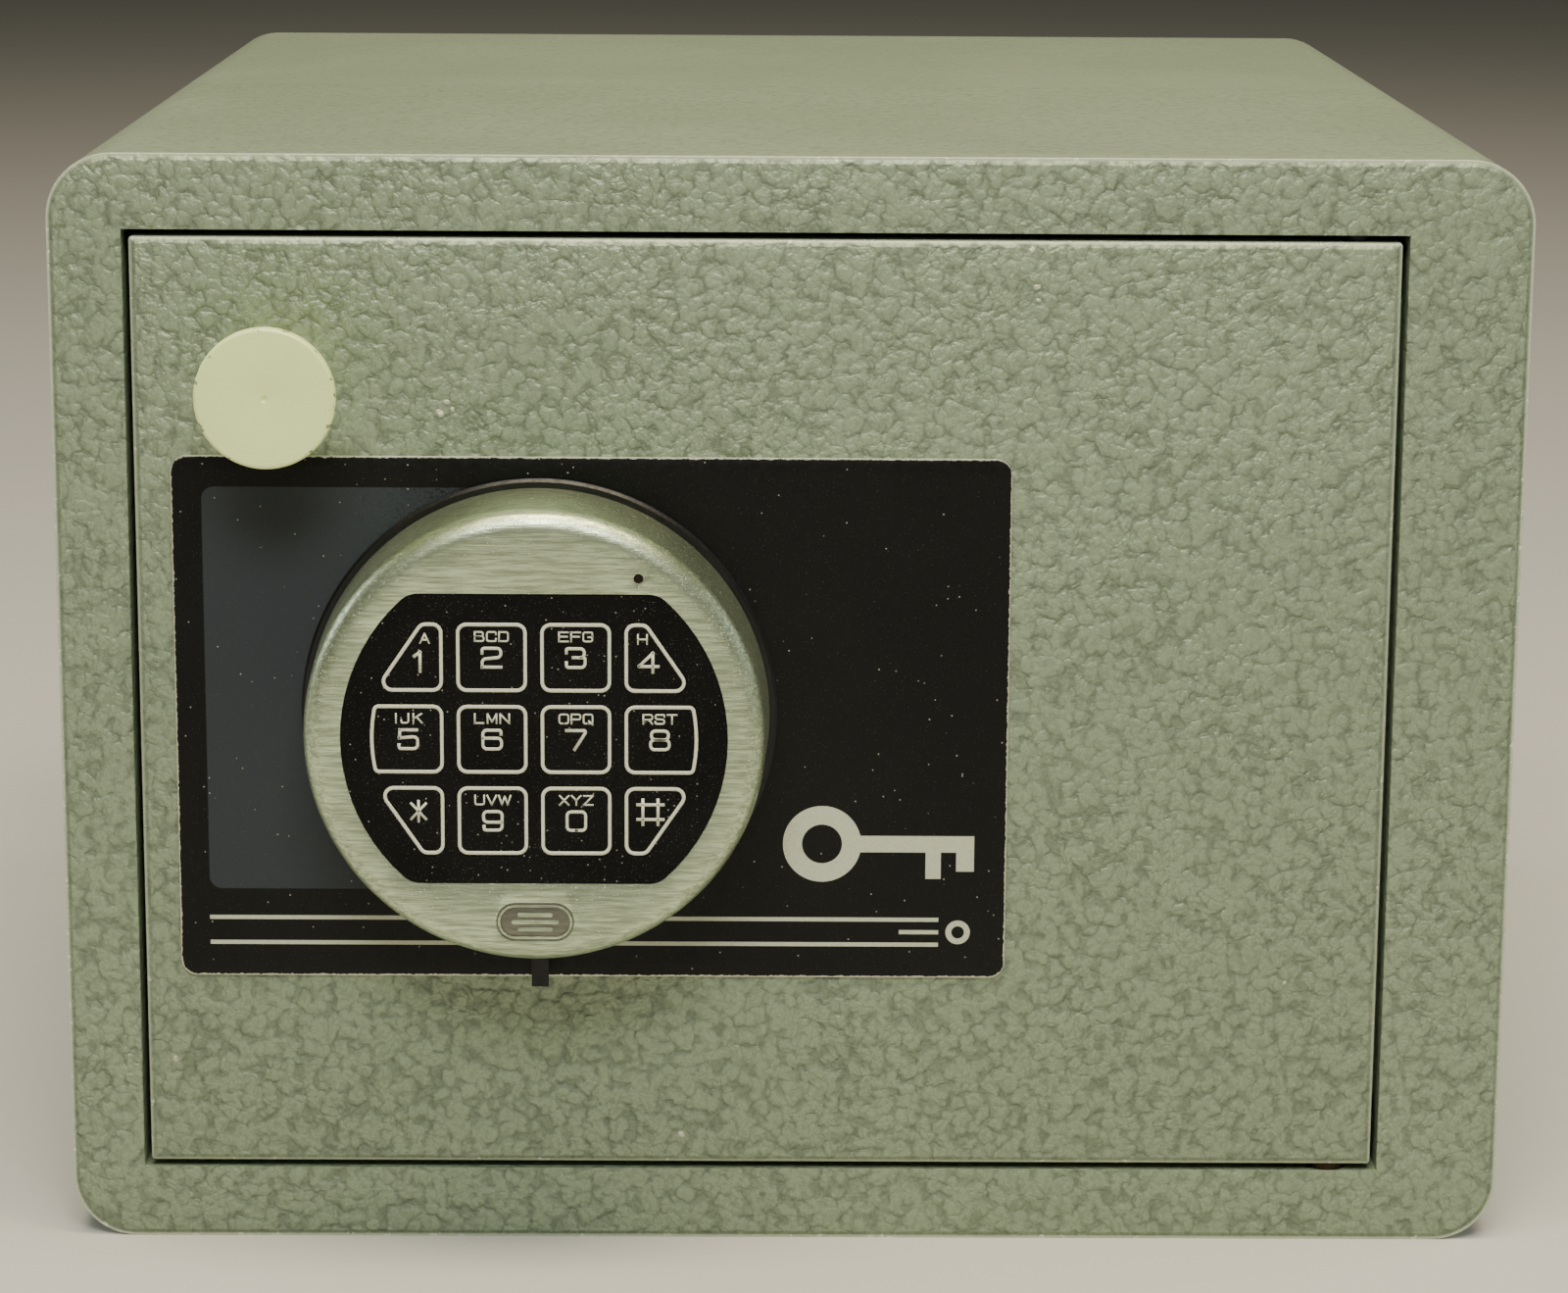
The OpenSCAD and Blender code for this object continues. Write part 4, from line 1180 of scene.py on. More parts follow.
@dataclass
class Cabinet:
    """The welded steel body: bent wrap, front frame, back plate and floor felt."""

    corner: float = 15 * MM
    wall: float = 6 * MM
    plate: float = 10 * MM
    front_edge: float = 1.1 * MM
    rear_edge: float = 1.6 * MM
    anchor_radius: float = 6 * MM
    anchor_half: float = 100 * MM
    base_anchor_y: float = 60 * MM
    rear_anchor_z: float = 190 * MM
    door_gap: float = 1.6 * MM
    felt_clearance: float = 3 * MM
    felt_edge: float = 0.8 * MM
    felt_mesh: float = 1.5 * MM
    felt_unevenness: float = 0.25 * MM
    opening: tuple[float, float, float, float] = field(init=False)

    def __post_init__(self) -> None:
        """Takes the opening from the door and its gap."""
        lo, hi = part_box("door_plate")
        gap = self.door_gap
        self.opening = (lo.x - gap, lo.z - gap, hi.x + gap, hi.z + gap)

    def build(self) -> None:
        """Builds and dresses every cabinet piece."""
        self.make_wrap()
        self.make_frame()
        self.make_back()
        self.make_felt()
        dress_nodes({
            # The hinge pins and washer are coloured dark as painted shade for the door gap.
            "hinge_pin_upper": GAP_SHADE_PIN,
            "hinge_pin_lower": GAP_SHADE_PIN,
            # Dark washer colour: painted shade for the door gap.
            "hinge_washer": GAP_SHADE_BRONZE,
        })

    def full_outline(self) -> list[Point2]:
        """The cabinet's outline with its four round corners."""
        lo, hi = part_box("front_frame")
        return rounded(rectangle(lo.x, lo.z, hi.x, hi.z), self.corner, steps=12)

    def make_wrap(self) -> None:
        """Bends the sheet round the four long edges and bores the anchor holes."""
        lo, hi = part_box("outer_wrap")
        wrap = add_box("cabinet_wrap", lo, hi)

        def bend() -> None:
            """Rounds the long edges and opens both ends."""
            pick_edges(lambda e: abs((e.verts[0].co - e.verts[1].co).normalized().y) > 0.9)
            bpy.ops.mesh.bevel(offset=self.corner, segments=12, affect="EDGES", clamp_overlap=False)
            pick_faces(lambda f: abs(f.normal.y) > 0.9)
            bpy.ops.mesh.delete(type="FACE")

        edit(wrap, bend)
        modify(wrap, "SOLIDIFY", thickness=self.wall, offset=-1, use_even_offset=True, use_rim=True)
        for side in (-1, 1):
            x = side * self.anchor_half
            foot = Vector((x, self.base_anchor_y, -self.wall))
            cut(wrap, add_rod("bore", foot, foot + Vector((0, 0, 3 * self.wall)), self.anchor_radius))
        shade(wrap, 30)
        dress_piece(wrap, WRAP_ENAMEL)
        fit(wrap, "cabinet", "outer_wrap")

    def make_frame(self) -> None:
        """Cuts the front frame from plate and eases its front edges."""
        lo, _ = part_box("front_frame")
        frame = panel("front_ring", [self.full_outline(), rectangle(*self.opening)], lo.y, self.plate)

        def ease() -> None:
            """Rounds the outer and inner front edges."""
            pick_edges(lambda e: self.is_front_rim(e, lo.y))
            bpy.ops.mesh.bevel(offset=self.front_edge, segments=4, affect="EDGES", clamp_overlap=True)

        edit(frame, ease)
        shade(frame, 30)
        enamel = rimmed_enamel("hammered enamel, frame", "front_frame", self.corner)
        dress_piece(frame, enamel)
        fit(frame, "cabinet", "front_frame")

    @staticmethod
    def is_front_rim(edge: bmesh.types.BMEdge, y: float) -> bool:
        """True for a sharp edge that lies in the front face."""
        level = all(abs(v.co.y - y) < 1e-5 for v in edge.verts)
        return level and len(edge.link_faces) == 2 and edge.calc_face_angle(0.0) > 0.8

    def make_back(self) -> None:
        """Makes the back plate with its two anchor holes and eased rear edges."""
        lo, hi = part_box("back_plate")
        holes = [disc(s * self.anchor_half, self.rear_anchor_z, self.anchor_radius) for s in (-1, 1)]
        back = panel("back_sheet", [self.full_outline(), *holes], lo.y, hi.y - lo.y)

        def ease() -> None:
            """Rounds the rear edges."""
            pick_edges(lambda e: self.is_front_rim(e, hi.y))
            bpy.ops.mesh.bevel(offset=self.rear_edge, segments=4, affect="EDGES", clamp_overlap=True)

        edit(back, ease)
        shade(back, 30)
        dress_piece(back, WRAP_ENAMEL)
        fit(back, "cabinet", "back_plate")

    def make_felt(self) -> None:
        """Lays the felt on the floor of the cabinet, slightly uneven, with soft edges."""
        lo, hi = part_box("floor_mat")
        felt = add_box("floor_felt", lo, hi)
        for side in (-1, 1):
            foot = Vector((side * self.anchor_half, self.base_anchor_y, lo.z - MM))
            radius = self.anchor_radius + self.felt_clearance
            cut(felt, add_rod("bore", foot, foot + Vector((0, 0, 6 * MM)), radius, 24))
        soften(felt, self.felt_edge, 3, 60)
        modify(felt, "REMESH", mode="VOXEL", voxel_size=self.felt_mesh)
        pile = bpy.data.textures.new("felt pile", "CLOUDS")
        pile.noise_scale = 0.02
        modify(
            felt, "DISPLACE",
            texture=pile, strength=self.felt_unevenness, mid_level=1.0, texture_coords="LOCAL",
        )
        shade(felt, 60)
        dress_piece(felt, FELT)
        fit(felt, "cabinet", "floor_mat")


# --------------------------------------------------------------------- door


@dataclass
class Door:
    """The door slab, its label plate and the cover behind it."""

    edge: float = 0.9 * MM
    bush_bore: float = 8.0 * MM
    pin_bore: float = 3.05 * MM
    pin_play: float = 0.3 * MM
    cover_sheet: float = 1.5 * MM
    cover_fold: float = 3 * MM
    bolt_hole: float = 8.5 * MM
    nibs: tuple[tuple[float, float, float], ...] = (
        (-79.2, 202.2, 1.0), (-80.6, 199.6, 1.2), (-77.8, 200.4, 0.7), (55.0, 238.0, 0.8),
        (56.2, 229.5, 1.0), (56.6, 226.4, 0.7), (-24.9, 25.8, 0.9), (-144.9, 44.1, 0.8),
        (118.0, 64.0, 0.6),
    )

    def build(self) -> None:
        """Builds and dresses every door piece."""
        self.make_slab()
        self.make_nibs()
        self.make_cover()
        LabelPlate().build()
        dress_nodes({
            "dog_bar": INNER_ENAMEL,
            "bolt_guide_upper": STEEL,
            "bolt_guide_lower": STEEL,
            "bolt_guide_screws": ZINC,
            "lock_case": ZINC,
            "lock_cover": ZINC,
            "lock_screws": ZINC,
            "lock_solenoid": COPPER,
            "lock_cable": BLACK_PLASTIC,
            "cover_standoffs": POST_STEEL,
            "cover_screws": ZINC,
        })

    def make_slab(self) -> None:
        """Rounds the door slab and bores it for the knob and the hinge pins."""
        lo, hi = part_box("door_plate")
        slab = add_box("door_slab", lo, hi)
        soften(slab, self.edge, 4, 60)
        bush_lo, bush_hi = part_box("knob_bush")
        centre = (bush_lo + bush_hi) / 2
        start = Vector((centre.x, lo.y - 5 * MM, centre.z))
        cut(slab, add_rod("bore", start, start + Vector((0, 20 * MM, 0)), self.bush_bore))
        for node in ("hinge_pin_upper", "hinge_pin_lower"):
            pin_lo, pin_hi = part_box(node)
            middle = (pin_lo + pin_hi) / 2
            half = Vector((0, 0, (pin_hi.z - pin_lo.z) / 2 + self.pin_play))
            cut(slab, add_rod("bore", middle - half, middle + half, self.pin_bore))
        shade(slab, 30)
        enamel = rimmed_enamel("hammered enamel, door", "door_plate", self.edge)
        dress_piece(slab, enamel)
        fit(slab, "door", "door_plate")

    def make_nibs(self) -> None:
        """Adds the few blobs where the enamel has caught dirt."""
        lo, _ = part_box("door_plate")
        made = []
        for i, (x, z, size) in enumerate(self.nibs):
            bpy.ops.mesh.primitive_ico_sphere_add(
                subdivisions=3, radius=size * MM, location=(x * MM, lo.y, z * MM),
                rotation=(0, 0.7 * i, 0), scale=(1.0, 0.35, 0.6 + 0.1 * (i % 4)),
            )
            made.append(settle(bpy.context.active_object))
        nibs = join("enamel_nibs", made)
        lumps = bpy.data.textures.new("nib lumps", "CLOUDS")
        lumps.noise_scale = MM
        modify(
            nibs, "DISPLACE",
            texture=lumps, strength=0.5 * MM, mid_level=0.5, texture_coords="LOCAL",
        )
        shade(nibs, 60)
        dress_piece(nibs, NIB_ENAMEL)
        fit(nibs, "door")

    def make_cover(self) -> None:
        """Folds the sheet cover behind the door and bores it for the bolts."""
        lo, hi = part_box("door_cover")
        cover = add_box("boltwork_cover", lo, hi)

        def fold() -> None:
            """Rounds the folded corners and opens the front."""
            pick_edges(lambda e: max(v.co.y for v in e.verts) > hi.y - MM or
                       abs((e.verts[0].co - e.verts[1].co).normalized().y) > 0.9)
            bpy.ops.mesh.bevel(offset=self.cover_fold, segments=5, affect="EDGES", clamp_overlap=True)
            pick_faces(lambda f: f.normal.y < -0.9)
            bpy.ops.mesh.delete(type="FACE")

        edit(cover, fold)
        modify(cover, "SOLIDIFY", thickness=self.cover_sheet, offset=-1, use_even_offset=True, use_rim=True)
        for node in ("bolt_upper", "bolt_lower"):
            bolt_lo, bolt_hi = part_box(node)
            start = Vector((lo.x - 5 * MM, (bolt_lo.y + bolt_hi.y) / 2, (bolt_lo.z + bolt_hi.z) / 2))
            cut(cover, add_rod("bore", start, start + Vector((12 * MM, 0, 0)), self.bolt_hole))
        shade(cover, 35)
        dress_piece(cover, INNER_ENAMEL)
        fit(cover, "door", "door_cover")


@dataclass
class LabelPlate:
    """The printed plate on the door: black ground, lines and a plain key sign.

    The print is laid out in millimetres, as the artwork for it would be.
    """

    corner: float = 3.8 * MM
    edge: float = 0.22 * MM
    shade_margin: float = 7.0 * MM
    shade_end: float = -9.5 * MM
    shade_middle: float = 134.4 * MM
    shade_half: float = 48.1 * MM
    line_height: float = 1.0
    lines: tuple[tuple[float, float, float], ...] = (
        (-136.0, 35.7, 79.4), (-136.0, 35.7, 73.3), (26.4, 35.7, 76.35),
    )
    ring_centre: Point2 = (40.3, 76.35)
    ring_radii: tuple[float, float] = (2.9, 1.5)
    sign_centre: Point2 = (21.5, 97.8)
    bow_middle: float = -13.4
    bow_radii: tuple[float, float] = (9.2, 4.7)
    stem_half: float = 2.0
    key_bit: tuple[Point2, ...] = (
        (11.0, -2.0), (11.0, -8.4), (14.6, -8.4), (14.6, -2.0),
        (18.2, -2.0), (18.2, -6.6), (22.4, -6.6), (22.4, 2.0),
    )

    def build(self) -> None:
        """Builds the plate and its print."""
        lo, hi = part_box("label_plate")
        plate = panel(
            "label_face", [rounded(rectangle(lo.x, lo.z, hi.x, hi.z), self.corner)], lo.y, hi.y - lo.y
        )
        soften(plate, self.edge, 2, 60)
        shade(plate, 30)
        shade_start = lo.x + self.shade_margin
        film = LabelFilm(
            "printed label film",
            centre=tuple((lo + hi) / 2),
            half=((hi.x - lo.x) / 2, 0.0, (hi.z - lo.z) / 2),
            shade_centre=((shade_start + self.shade_end) / 2, 0.0, self.shade_middle),
            shade_half=((self.shade_end - shade_start) / 2, 0.0, self.shade_half),
        )
        dress_piece(plate, film)
        plate.data.materials.append(GrainedMetal("cut aluminium rim", "d4d7c4", "9da08e").material())
        for face in plate.data.polygons:
            face.material_index = 0 if abs(face.normal.y) > 0.95 else 1
        fit(plate, "door", "label_plate")
        self.make_print(lo.y)

    def make_print(self, front: float) -> None:
        """Prints the lines, the ring and the key sign in pale ink."""
        half = self.line_height / 2
        bars = [rectangle(x0, z - half, x1, z + half) for x0, x1, z in self.lines]
        parts = [panel("line", [in_mm(bar)], front - INK_RISE, INK_RISE) for bar in bars]
        ring = [in_mm(disc(*self.ring_centre, radius)) for radius in self.ring_radii]
        parts.append(panel("ring", ring, front - INK_RISE, INK_RISE))
        bow, eye = self.bow_radii
        neck = math.degrees(math.asin(self.stem_half / bow))
        outline = arc(self.bow_middle, 0, bow, neck, 360 - neck, 48) + list(self.key_bit)
        sign_lines = [in_mm(line, *self.sign_centre) for line in (outline, disc(self.bow_middle, 0, eye))]
        parts.append(panel("key sign", sign_lines, front - INK_RISE, INK_RISE))
        sign = join("label_print", parts)
        dress_piece(sign, LABEL_INK)
        fit(sign, "door")


# ------------------------------------------------------------------- keypad

# How much room a character takes beside the others, and how round its corners are.
GLYPH_WIDTHS = {"I": 0.55, "M": 1.1, "W": 1.15}
GLYPH_CORNER = 0.42

# Centre lines of the characters on the keys, on a square from -1 to 1.
GLYPHS: dict[str, tuple[tuple[Point2, ...], ...]] = {
    "0": (((0, -1), (1, -1), (1, 1), (-1, 1), (-1, -1), (0, -1)),),
    "1": (((-0.45, 0.6), (0.15, 1)), ((0.15, 1), (0.15, -1))),
    "2": (((-1, 0.5), (-1, 1), (1, 1), (1, 0.05), (-1, -0.15), (-1, -1)), ((-1, -1), (1, -1))),
    "3": (((-1, 0.55), (-1, 1), (0.92, 1), (0.92, 0.05), (-0.25, 0.05)),
          ((0.6, 0.05), (1, 0.05), (1, -1), (-1, -1), (-1, -0.5))),
    "4": (((0.45, -1), (0.45, 1)), ((0.45, 1), (-1, -0.35)), ((-1, -0.4), (1, -0.4))),
    "5": (((0.9, 1), (-0.88, 1)), ((-0.88, 1), (-0.95, 0.15)),
          ((-0.95, 0.15), (1, 0.3), (1, -1), (-1, -1), (-1, -0.6))),
    "6": (((0.95, 0.6), (0.95, 1), (-1, 1), (-1, -1), (1, -1), (1, 0.15), (-0.95, 0.15)),),
    "7": (((-1, 1), (1, 1), (1, 0.75), (-0.15, -1)),),
    "8": (((0, 0.05), (0.92, 0.05), (0.92, 1), (-0.92, 1), (-0.92, 0.05), (0, 0.05)),
          ((0, 0.05), (1, 0.05), (1, -1), (-1, -1), (-1, 0.05), (0, 0.05))),
    "9": (((-0.95, -0.6), (-0.95, -1), (1, -1), (1, 1), (-1, 1), (-1, -0.15), (0.95, -0.15)),),
    "*": (((0, 1.05), (0, -1.05)), ((-0.72, 0.8), (0.72, -0.8)), ((-0.72, -0.8), (0.72, 0.8))),
    "#": (((-0.75, 1.25), (-0.75, -1.25)), ((0.75, 1.25), (0.75, -1.25)),
          ((-1.25, 0.75), (1.25, 0.75)), ((-1.25, -0.75), (1.25, -0.75))),
    "A": (((-1, -1), (0, 1)), ((0, 1), (1, -1)), ((-0.55, -0.3), (0.55, -0.3))),
    "B": (((-1, 1), (0.85, 1), (0.85, 0.05), (-1, 0.05)), ((-1, 0.05), (1, 0.05), (1, -1), (-1, -1)),
          ((-1, -1), (-1, 1))),
    "C": (((1, 0.5), (1, 1), (-1, 1), (-1, -1), (1, -1), (1, -0.5)),),
    "D": (((-1, 1), (1, 1), (1, -1), (-1, -1)), ((-1, -1), (-1, 1))),
    "E": (((-1, -1), (-1, 1)), ((-1, 1), (1, 1)), ((-1, 0.05), (0.8, 0.05)), ((-1, -1), (1, -1))),
    "F": (((-1, -1), (-1, 1)), ((-1, 1), (1, 1)), ((-1, 0.05), (0.8, 0.05))),
    "G": (((1, 0.5), (1, 1), (-1, 1), (-1, -1), (1, -1), (1, -0.05), (0.1, -0.05)),),
    "H": (((-1, -1), (-1, 1)), ((1, -1), (1, 1)), ((-1, 0), (1, 0))),
    "I": (((0, -1), (0, 1)),),
    "J": (((0.7, 1), (0.7, -1), (-0.9, -1), (-0.9, -0.4)),),
    "K": (((-0.9, -1), (-0.9, 1)), ((0.9, 1), (-0.85, -0.05)), ((-0.2, 0.3), (1, -1))),
    "L": (((-1, 1), (-1, -1)), ((-1, -1), (0.9, -1))),
    "M": (((-1, -1), (-1, 1)), ((-1, 1), (0, -0.7)), ((0, -0.7), (1, 1)), ((1, 1), (1, -1))),
    "N": (((-1, -1), (-1, 1)), ((-1, 1), (1, -1)), ((1, -1), (1, 1))),
    "O": (((0, -1), (1, -1), (1, 1), (-1, 1), (-1, -1), (0, -1)),),
    "P": (((-1, 1), (1, 1), (1, -0.1), (-1, -0.1)), ((-1, -1), (-1, 1))),
    "Q": (((0, -1), (1, -1), (1, 1), (-1, 1), (-1, -1), (0, -1)), ((0.2, -0.5), (1, -1.2))),
    "R": (((-1, 1), (1, 1), (1, -0.1), (-1, -0.1)), ((-1, -1), (-1, 1)), ((0.2, -0.1), (1, -1))),
    "S": (((1, 0.55), (1, 1), (-1, 1), (-1, 0.1), (1, -0.1), (1, -1), (-1, -1), (-1, -0.55)),),
    "T": (((-1, 1), (1, 1)), ((0, 1), (0, -1))),
    "U": (((-1, 1), (-1, -1), (1, -1), (1, 1)),),
    "V": (((-1, 1), (0, -1)), ((0, -1), (1, 1))),
    "W": (((-1.3, 1), (-0.65, -1)), ((-0.65, -1), (0, 0.8)), ((0, 0.8), (0.65, -1)), ((0.65, -1), (1.3, 1))),
    "X": (((-1, 1), (1, -1)), ((-1, -1), (1, 1))),
    "Y": (((-1, 1), (0, 0)), ((1, 1), (0, 0)), ((0, 0), (0, -1))),
    "Z": (((-1, 1), (1, 1)), ((1, 1), (-1, -1)), ((-1, -1), (1, -1))),
}


def stretched_ends(line: list[Point2], extra: float) -> list[Point2]:
    """Makes an open line longer at both ends by a distance."""
    first, second, third, last = (Vector(line[i]) for i in (0, 1, -2, -1))
    start = first + (first - second).normalized() * extra
    end = last + (last - third).normalized() * extra
    return [tuple(start), *line[1:-1], tuple(end)]


def lettering(
    text: str, x: float, z: float, half_w: float, half_h: float, pitch: float, pen: float
) -> list[list[Point2]]:
    """Centre lines of a row of characters.

    Args:
        text: The characters.
        x: Centre of the row.
        z: Middle height of the row.
        half_w: Half of a character's width.
        half_h: Half of a character's height.
        pitch: Distance between neighbouring characters.
        pen: Width of the strokes, by half of which their ends run on.

    Returns:
        The lines, in metres.
    """
    lines: list[list[Point2]] = []
    widths = [GLYPH_WIDTHS.get(c, 1.0) * pitch for c in text]
    left = x - sum(widths) / 2
    for character, width in zip(text, widths):
        for line in GLYPHS[character]:
            placed = moved(line, left + width / 2, z, half_w, half_h)
            bent = rounded(placed, GLYPH_CORNER * half_h, closed=False, steps=4)
            lines.append(stretched_ends(bent, pen / 2))
        left += width
    return lines


@dataclass(frozen=True)
class KeyPlace:
    """One key: its name, its place in the grid and its lettering."""

    name: str
    column: int
    row: int
    figure: str
    letters: str

    @property
    def is_corner(self) -> bool:
        """True for the four keys with a slanted side."""
        return self.column in (0, 3) and self.row != 1


KEYS = tuple(
    KeyPlace(name, i % 4, i // 4, figure, letters)
    for i, (name, figure, letters) in enumerate((
        ("1", "1", "A"), ("2", "2", "BCD"), ("3", "3", "EFG"), ("4", "4", "H"),
        ("5", "5", "IJK"), ("6", "6", "LMN"), ("7", "7", "OPQ"), ("8", "8", "RST"),
        ("star", "*", ""), ("9", "9", "UVW"), ("0", "0", "XYZ"), ("hash", "#", ""),
    ))
)


@dataclass
class Keypad:
    """The round lock on the door: ring, housing, membrane and twelve keys."""

    pitch: float = 19.05 * MM
    key: float = 16.1 * MM
    key_corner: float = 2.4 * MM
    short_side: float = 5.1 * MM
    bow: float = 37.3 * MM
    window_gap: float = 0.2 * MM
    membrane_radius: float = 44 * MM
    membrane_half: float = 33.8 * MM
    membrane_corner: float = 6 * MM
    housing_foot: float = 3.6 * MM
    bore: float = 50.5 * MM
    face_radius: float = 47.9 * MM
    shoulder: float = 4.9 * MM
    foot_edge: float = 0.3 * MM
    face_thickness: float = 2.5 * MM
    rim_edge: float = 0.14 * MM
    seat_depth: float = 1.2 * MM
    seat_gap: float = 0.05 * MM
    lens_bore: float = 1.1 * MM
    drawer_half: float = 15 * MM
    drawer_gap: float = 0.15 * MM
    badge_play: float = 0.1 * MM
    badge_rise: float = 0.28 * MM
    outline_width: float = 0.86 * MM
    figure_pen: float = 0.72 * MM
    letter_pen: float = 0.4 * MM
    reach: float = field(init=False)
    front: float = field(init=False)
    x: float = field(init=False)
    z: float = field(init=False)

    def __post_init__(self) -> None:
        """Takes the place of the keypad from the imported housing."""
        lo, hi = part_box("keypad_housing")
        self.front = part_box("door_plate")[0].y
        self.x, self.z = (lo.x + hi.x) / 2, (lo.z + hi.z) / 2
        self.reach = self.front - lo.y
        self.rear_radius = (hi.x - lo.x) / 2

    def build(self) -> None:
        """Builds and dresses every keypad piece."""
        self.make_ring()
        self.make_housing()
        self.make_membrane()
        self.make_badge()
        for place in KEYS:
            self.make_legend(place)
            dress_node(f"key_{place.name}", OVERLAY)
        dress_nodes({
            "keypad_base_screws": ZINC,
            "housing_screws": ZINC,
            "dome_mat": SILICONE,
            "circuit_board": BOARD,
            "sounder": BLACK_PLASTIC,
            "indicator_lens": LENS,
            "battery_drawer": BLACK_PLASTIC,
            "battery_snap": BLACK_PLASTIC,
        })

    def key_line(self, place: KeyPlace, grow: float) -> list[Point2]:
        """Outline of one key, grown outwards by a distance.

        Args:
            place: The key.
            grow: Distance to grow by, negative to shrink.

        Returns:
            The outline's points.
        """
        cx = self.x + (place.column - 1.5) * self.pitch
        cz = self.z + (1 - place.row) * self.pitch
        half = self.key / 2 + grow
        sx = -1 if place.column < 2 else 1
        sz = 1 if place.row < 1 else -1
        corner = self.key_corner + grow
        if place.is_corner:
            slant = math.atan2(self.key - self.short_side, self.key)
            top = self.short_side - self.key / 2 + grow / math.cos(slant) - grow * math.tan(slant)
            foot = self.key / 2 + grow / math.cos(slant) + grow * math.tan(slant)
            line = [
                (-half * sx, -half * sz), (foot * sx, -half * sz),
                (top * sx, half * sz), (-half * sx, half * sz),
            ]
            return rounded(moved(line, cx, cz), corner)
        if place.row == 1 and place.column in (0, 3):
            swell = math.degrees(math.asin(half / (self.bow + grow)))
            side = arc(0, 0, self.bow + grow, -0.78 * swell, 0.78 * swell, 6)
            line = [(cx + sx * -half, cz + half), (cx + sx * -half, cz - half)]
            line += [(self.x + sx * (self.bow + grow) * math.cos(math.radians(swell)), cz - half)]
            line += [(self.x + sx * px, cz + pz) for px, pz in side]
            line += [(self.x + sx * (self.bow + grow) * math.cos(math.radians(swell)), cz + half)]
            return rounded(line, corner)
        return rounded(moved(rectangle(-half, -half, half, half), cx, cz), corner)

    def membrane_line(self, grow: float = 0.0) -> list[Point2]:
        """Outline of the membrane: a disc cut level at top and bottom."""
        sizes = (self.membrane_radius, self.membrane_half, self.membrane_corner)
        radius, half, corner = (size + grow for size in sizes)
        cz = half - corner
        cx = math.sqrt((radius - corner) ** 2 - cz ** 2)
        lean = math.degrees(math.atan2(cz, cx))
        quarter = arc(0, 0, radius, 0, lean, 10)[:-1] + arc(cx, cz, corner, lean, 90, 8)
        top = quarter + [(-px, pz) for px, pz in reversed(quarter)][:-1]
        full = top + [(-px, -pz) for px, pz in top]
        return moved(full, self.x, self.z)

    def make_ring(self) -> None:
        """Turns the black base ring with its fine steps."""
        lo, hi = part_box("keypad_base")
        outer = (hi.x - lo.x) / 2 / MM
        groove, lip = outer - 0.25, outer - 0.6
        profile = [
            (0.0, 0.8), (outer, 0.8), (outer, 1.3), (groove, 1.45), (groove, 1.75), (outer, 1.9),
            (outer, 2.2), (lip, 2.8), (lip, 3.4), (0.0, 3.4),
        ]
        ring = turned("base_ring", in_mm(profile), self.x, self.z, self.front)
        shade(ring, 30)
        dress_piece(ring, RING_PLASTIC)
        fit(ring, "door", "keypad_base")

    def make_housing(self) -> None:
        """Turns the housing and mills the membrane seat, windows, badge seat and drawer slot."""
        reach, foot, under = self.reach, self.housing_foot, self.reach - self.face_thickness
        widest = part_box("keypad_housing")[1].x - self.x
        curve = arc(self.face_radius, reach - self.shoulder, self.shoulder, 0, 90, 12)
        profile = [
            (self.bore, foot), (widest - self.foot_edge, foot), (widest, foot + self.foot_edge), *curve,
            (self.face_radius / 2, reach), (0.0, reach), (0.0, under), (self.bore, under),
        ]
        housing = turned("keypad_body", profile, self.x, self.z, self.front, 160)
        top = self.front - reach
        seat = panel("seat", [self.membrane_line(self.seat_gap)], top - MM, MM + self.seat_depth)
        cut(housing, seat)
        for place in KEYS:
            cut(housing, panel("window", [self.key_line(place, self.window_gap)], top, 6 * MM))
        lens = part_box("indicator_lens")
        middle = (lens[0] + lens[1]) / 2
        start = Vector((middle.x, top - MM, middle.z))
        cut(housing, add_rod("bore", start, start + Vector((0, 6 * MM, 0)), self.lens_bore, 32))
        cut(housing, panel("badge seat", [self.badge_line()], top - MM, 1.4 * MM))
        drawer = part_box("battery_drawer")
        half = self.drawer_half + self.drawer_gap
        cut(housing, add_box(
            "slot",
            (self.x - half, drawer[0].y - self.drawer_gap, self.z - 60 * MM),
            (self.x + half, self.front - foot + MM, self.z - 40 * MM),
        ))
        self.ease_rims(housing, top)
        shade(housing, 25)
        dress_piece(housing, NICKEL)
        fit(housing, "door", "keypad_housing")

    def ease_rims(self, housing: bpy.types.Object, top: float) -> None:
        """Breaks the sharp edges that the milling left in the front face."""
        def ease() -> None:
            """Bevels the rim edges in the plane of the face."""
            bpy.ops.mesh.select_all(action="SELECT")
            bpy.ops.mesh.remove_doubles(threshold=MERGE_WITHIN)
            pick_edges(lambda e: Cabinet.is_front_rim(e, top))
            bpy.ops.mesh.bevel(offset=self.rim_edge, segments=2, affect="EDGES", clamp_overlap=True)

        edit(housing, ease)

    def badge_line(self, grow: float = 0.0) -> list[Point2]:
        """Outline of the small badge, a slot shape with round ends."""
        lo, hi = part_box("badge_inlay")
        half_w, half_h = (hi.x - lo.x) / 2 + self.badge_play, (hi.z - lo.z) / 2 + self.badge_play
        run = half_w - half_h
        radius = half_h + grow
        right = arc(run, 0, radius, -90, 90, 16)
        left = arc(-run, 0, radius, 90, 270, 16)
        return moved(right + left, (lo.x + hi.x) / 2, (lo.z + hi.z) / 2)

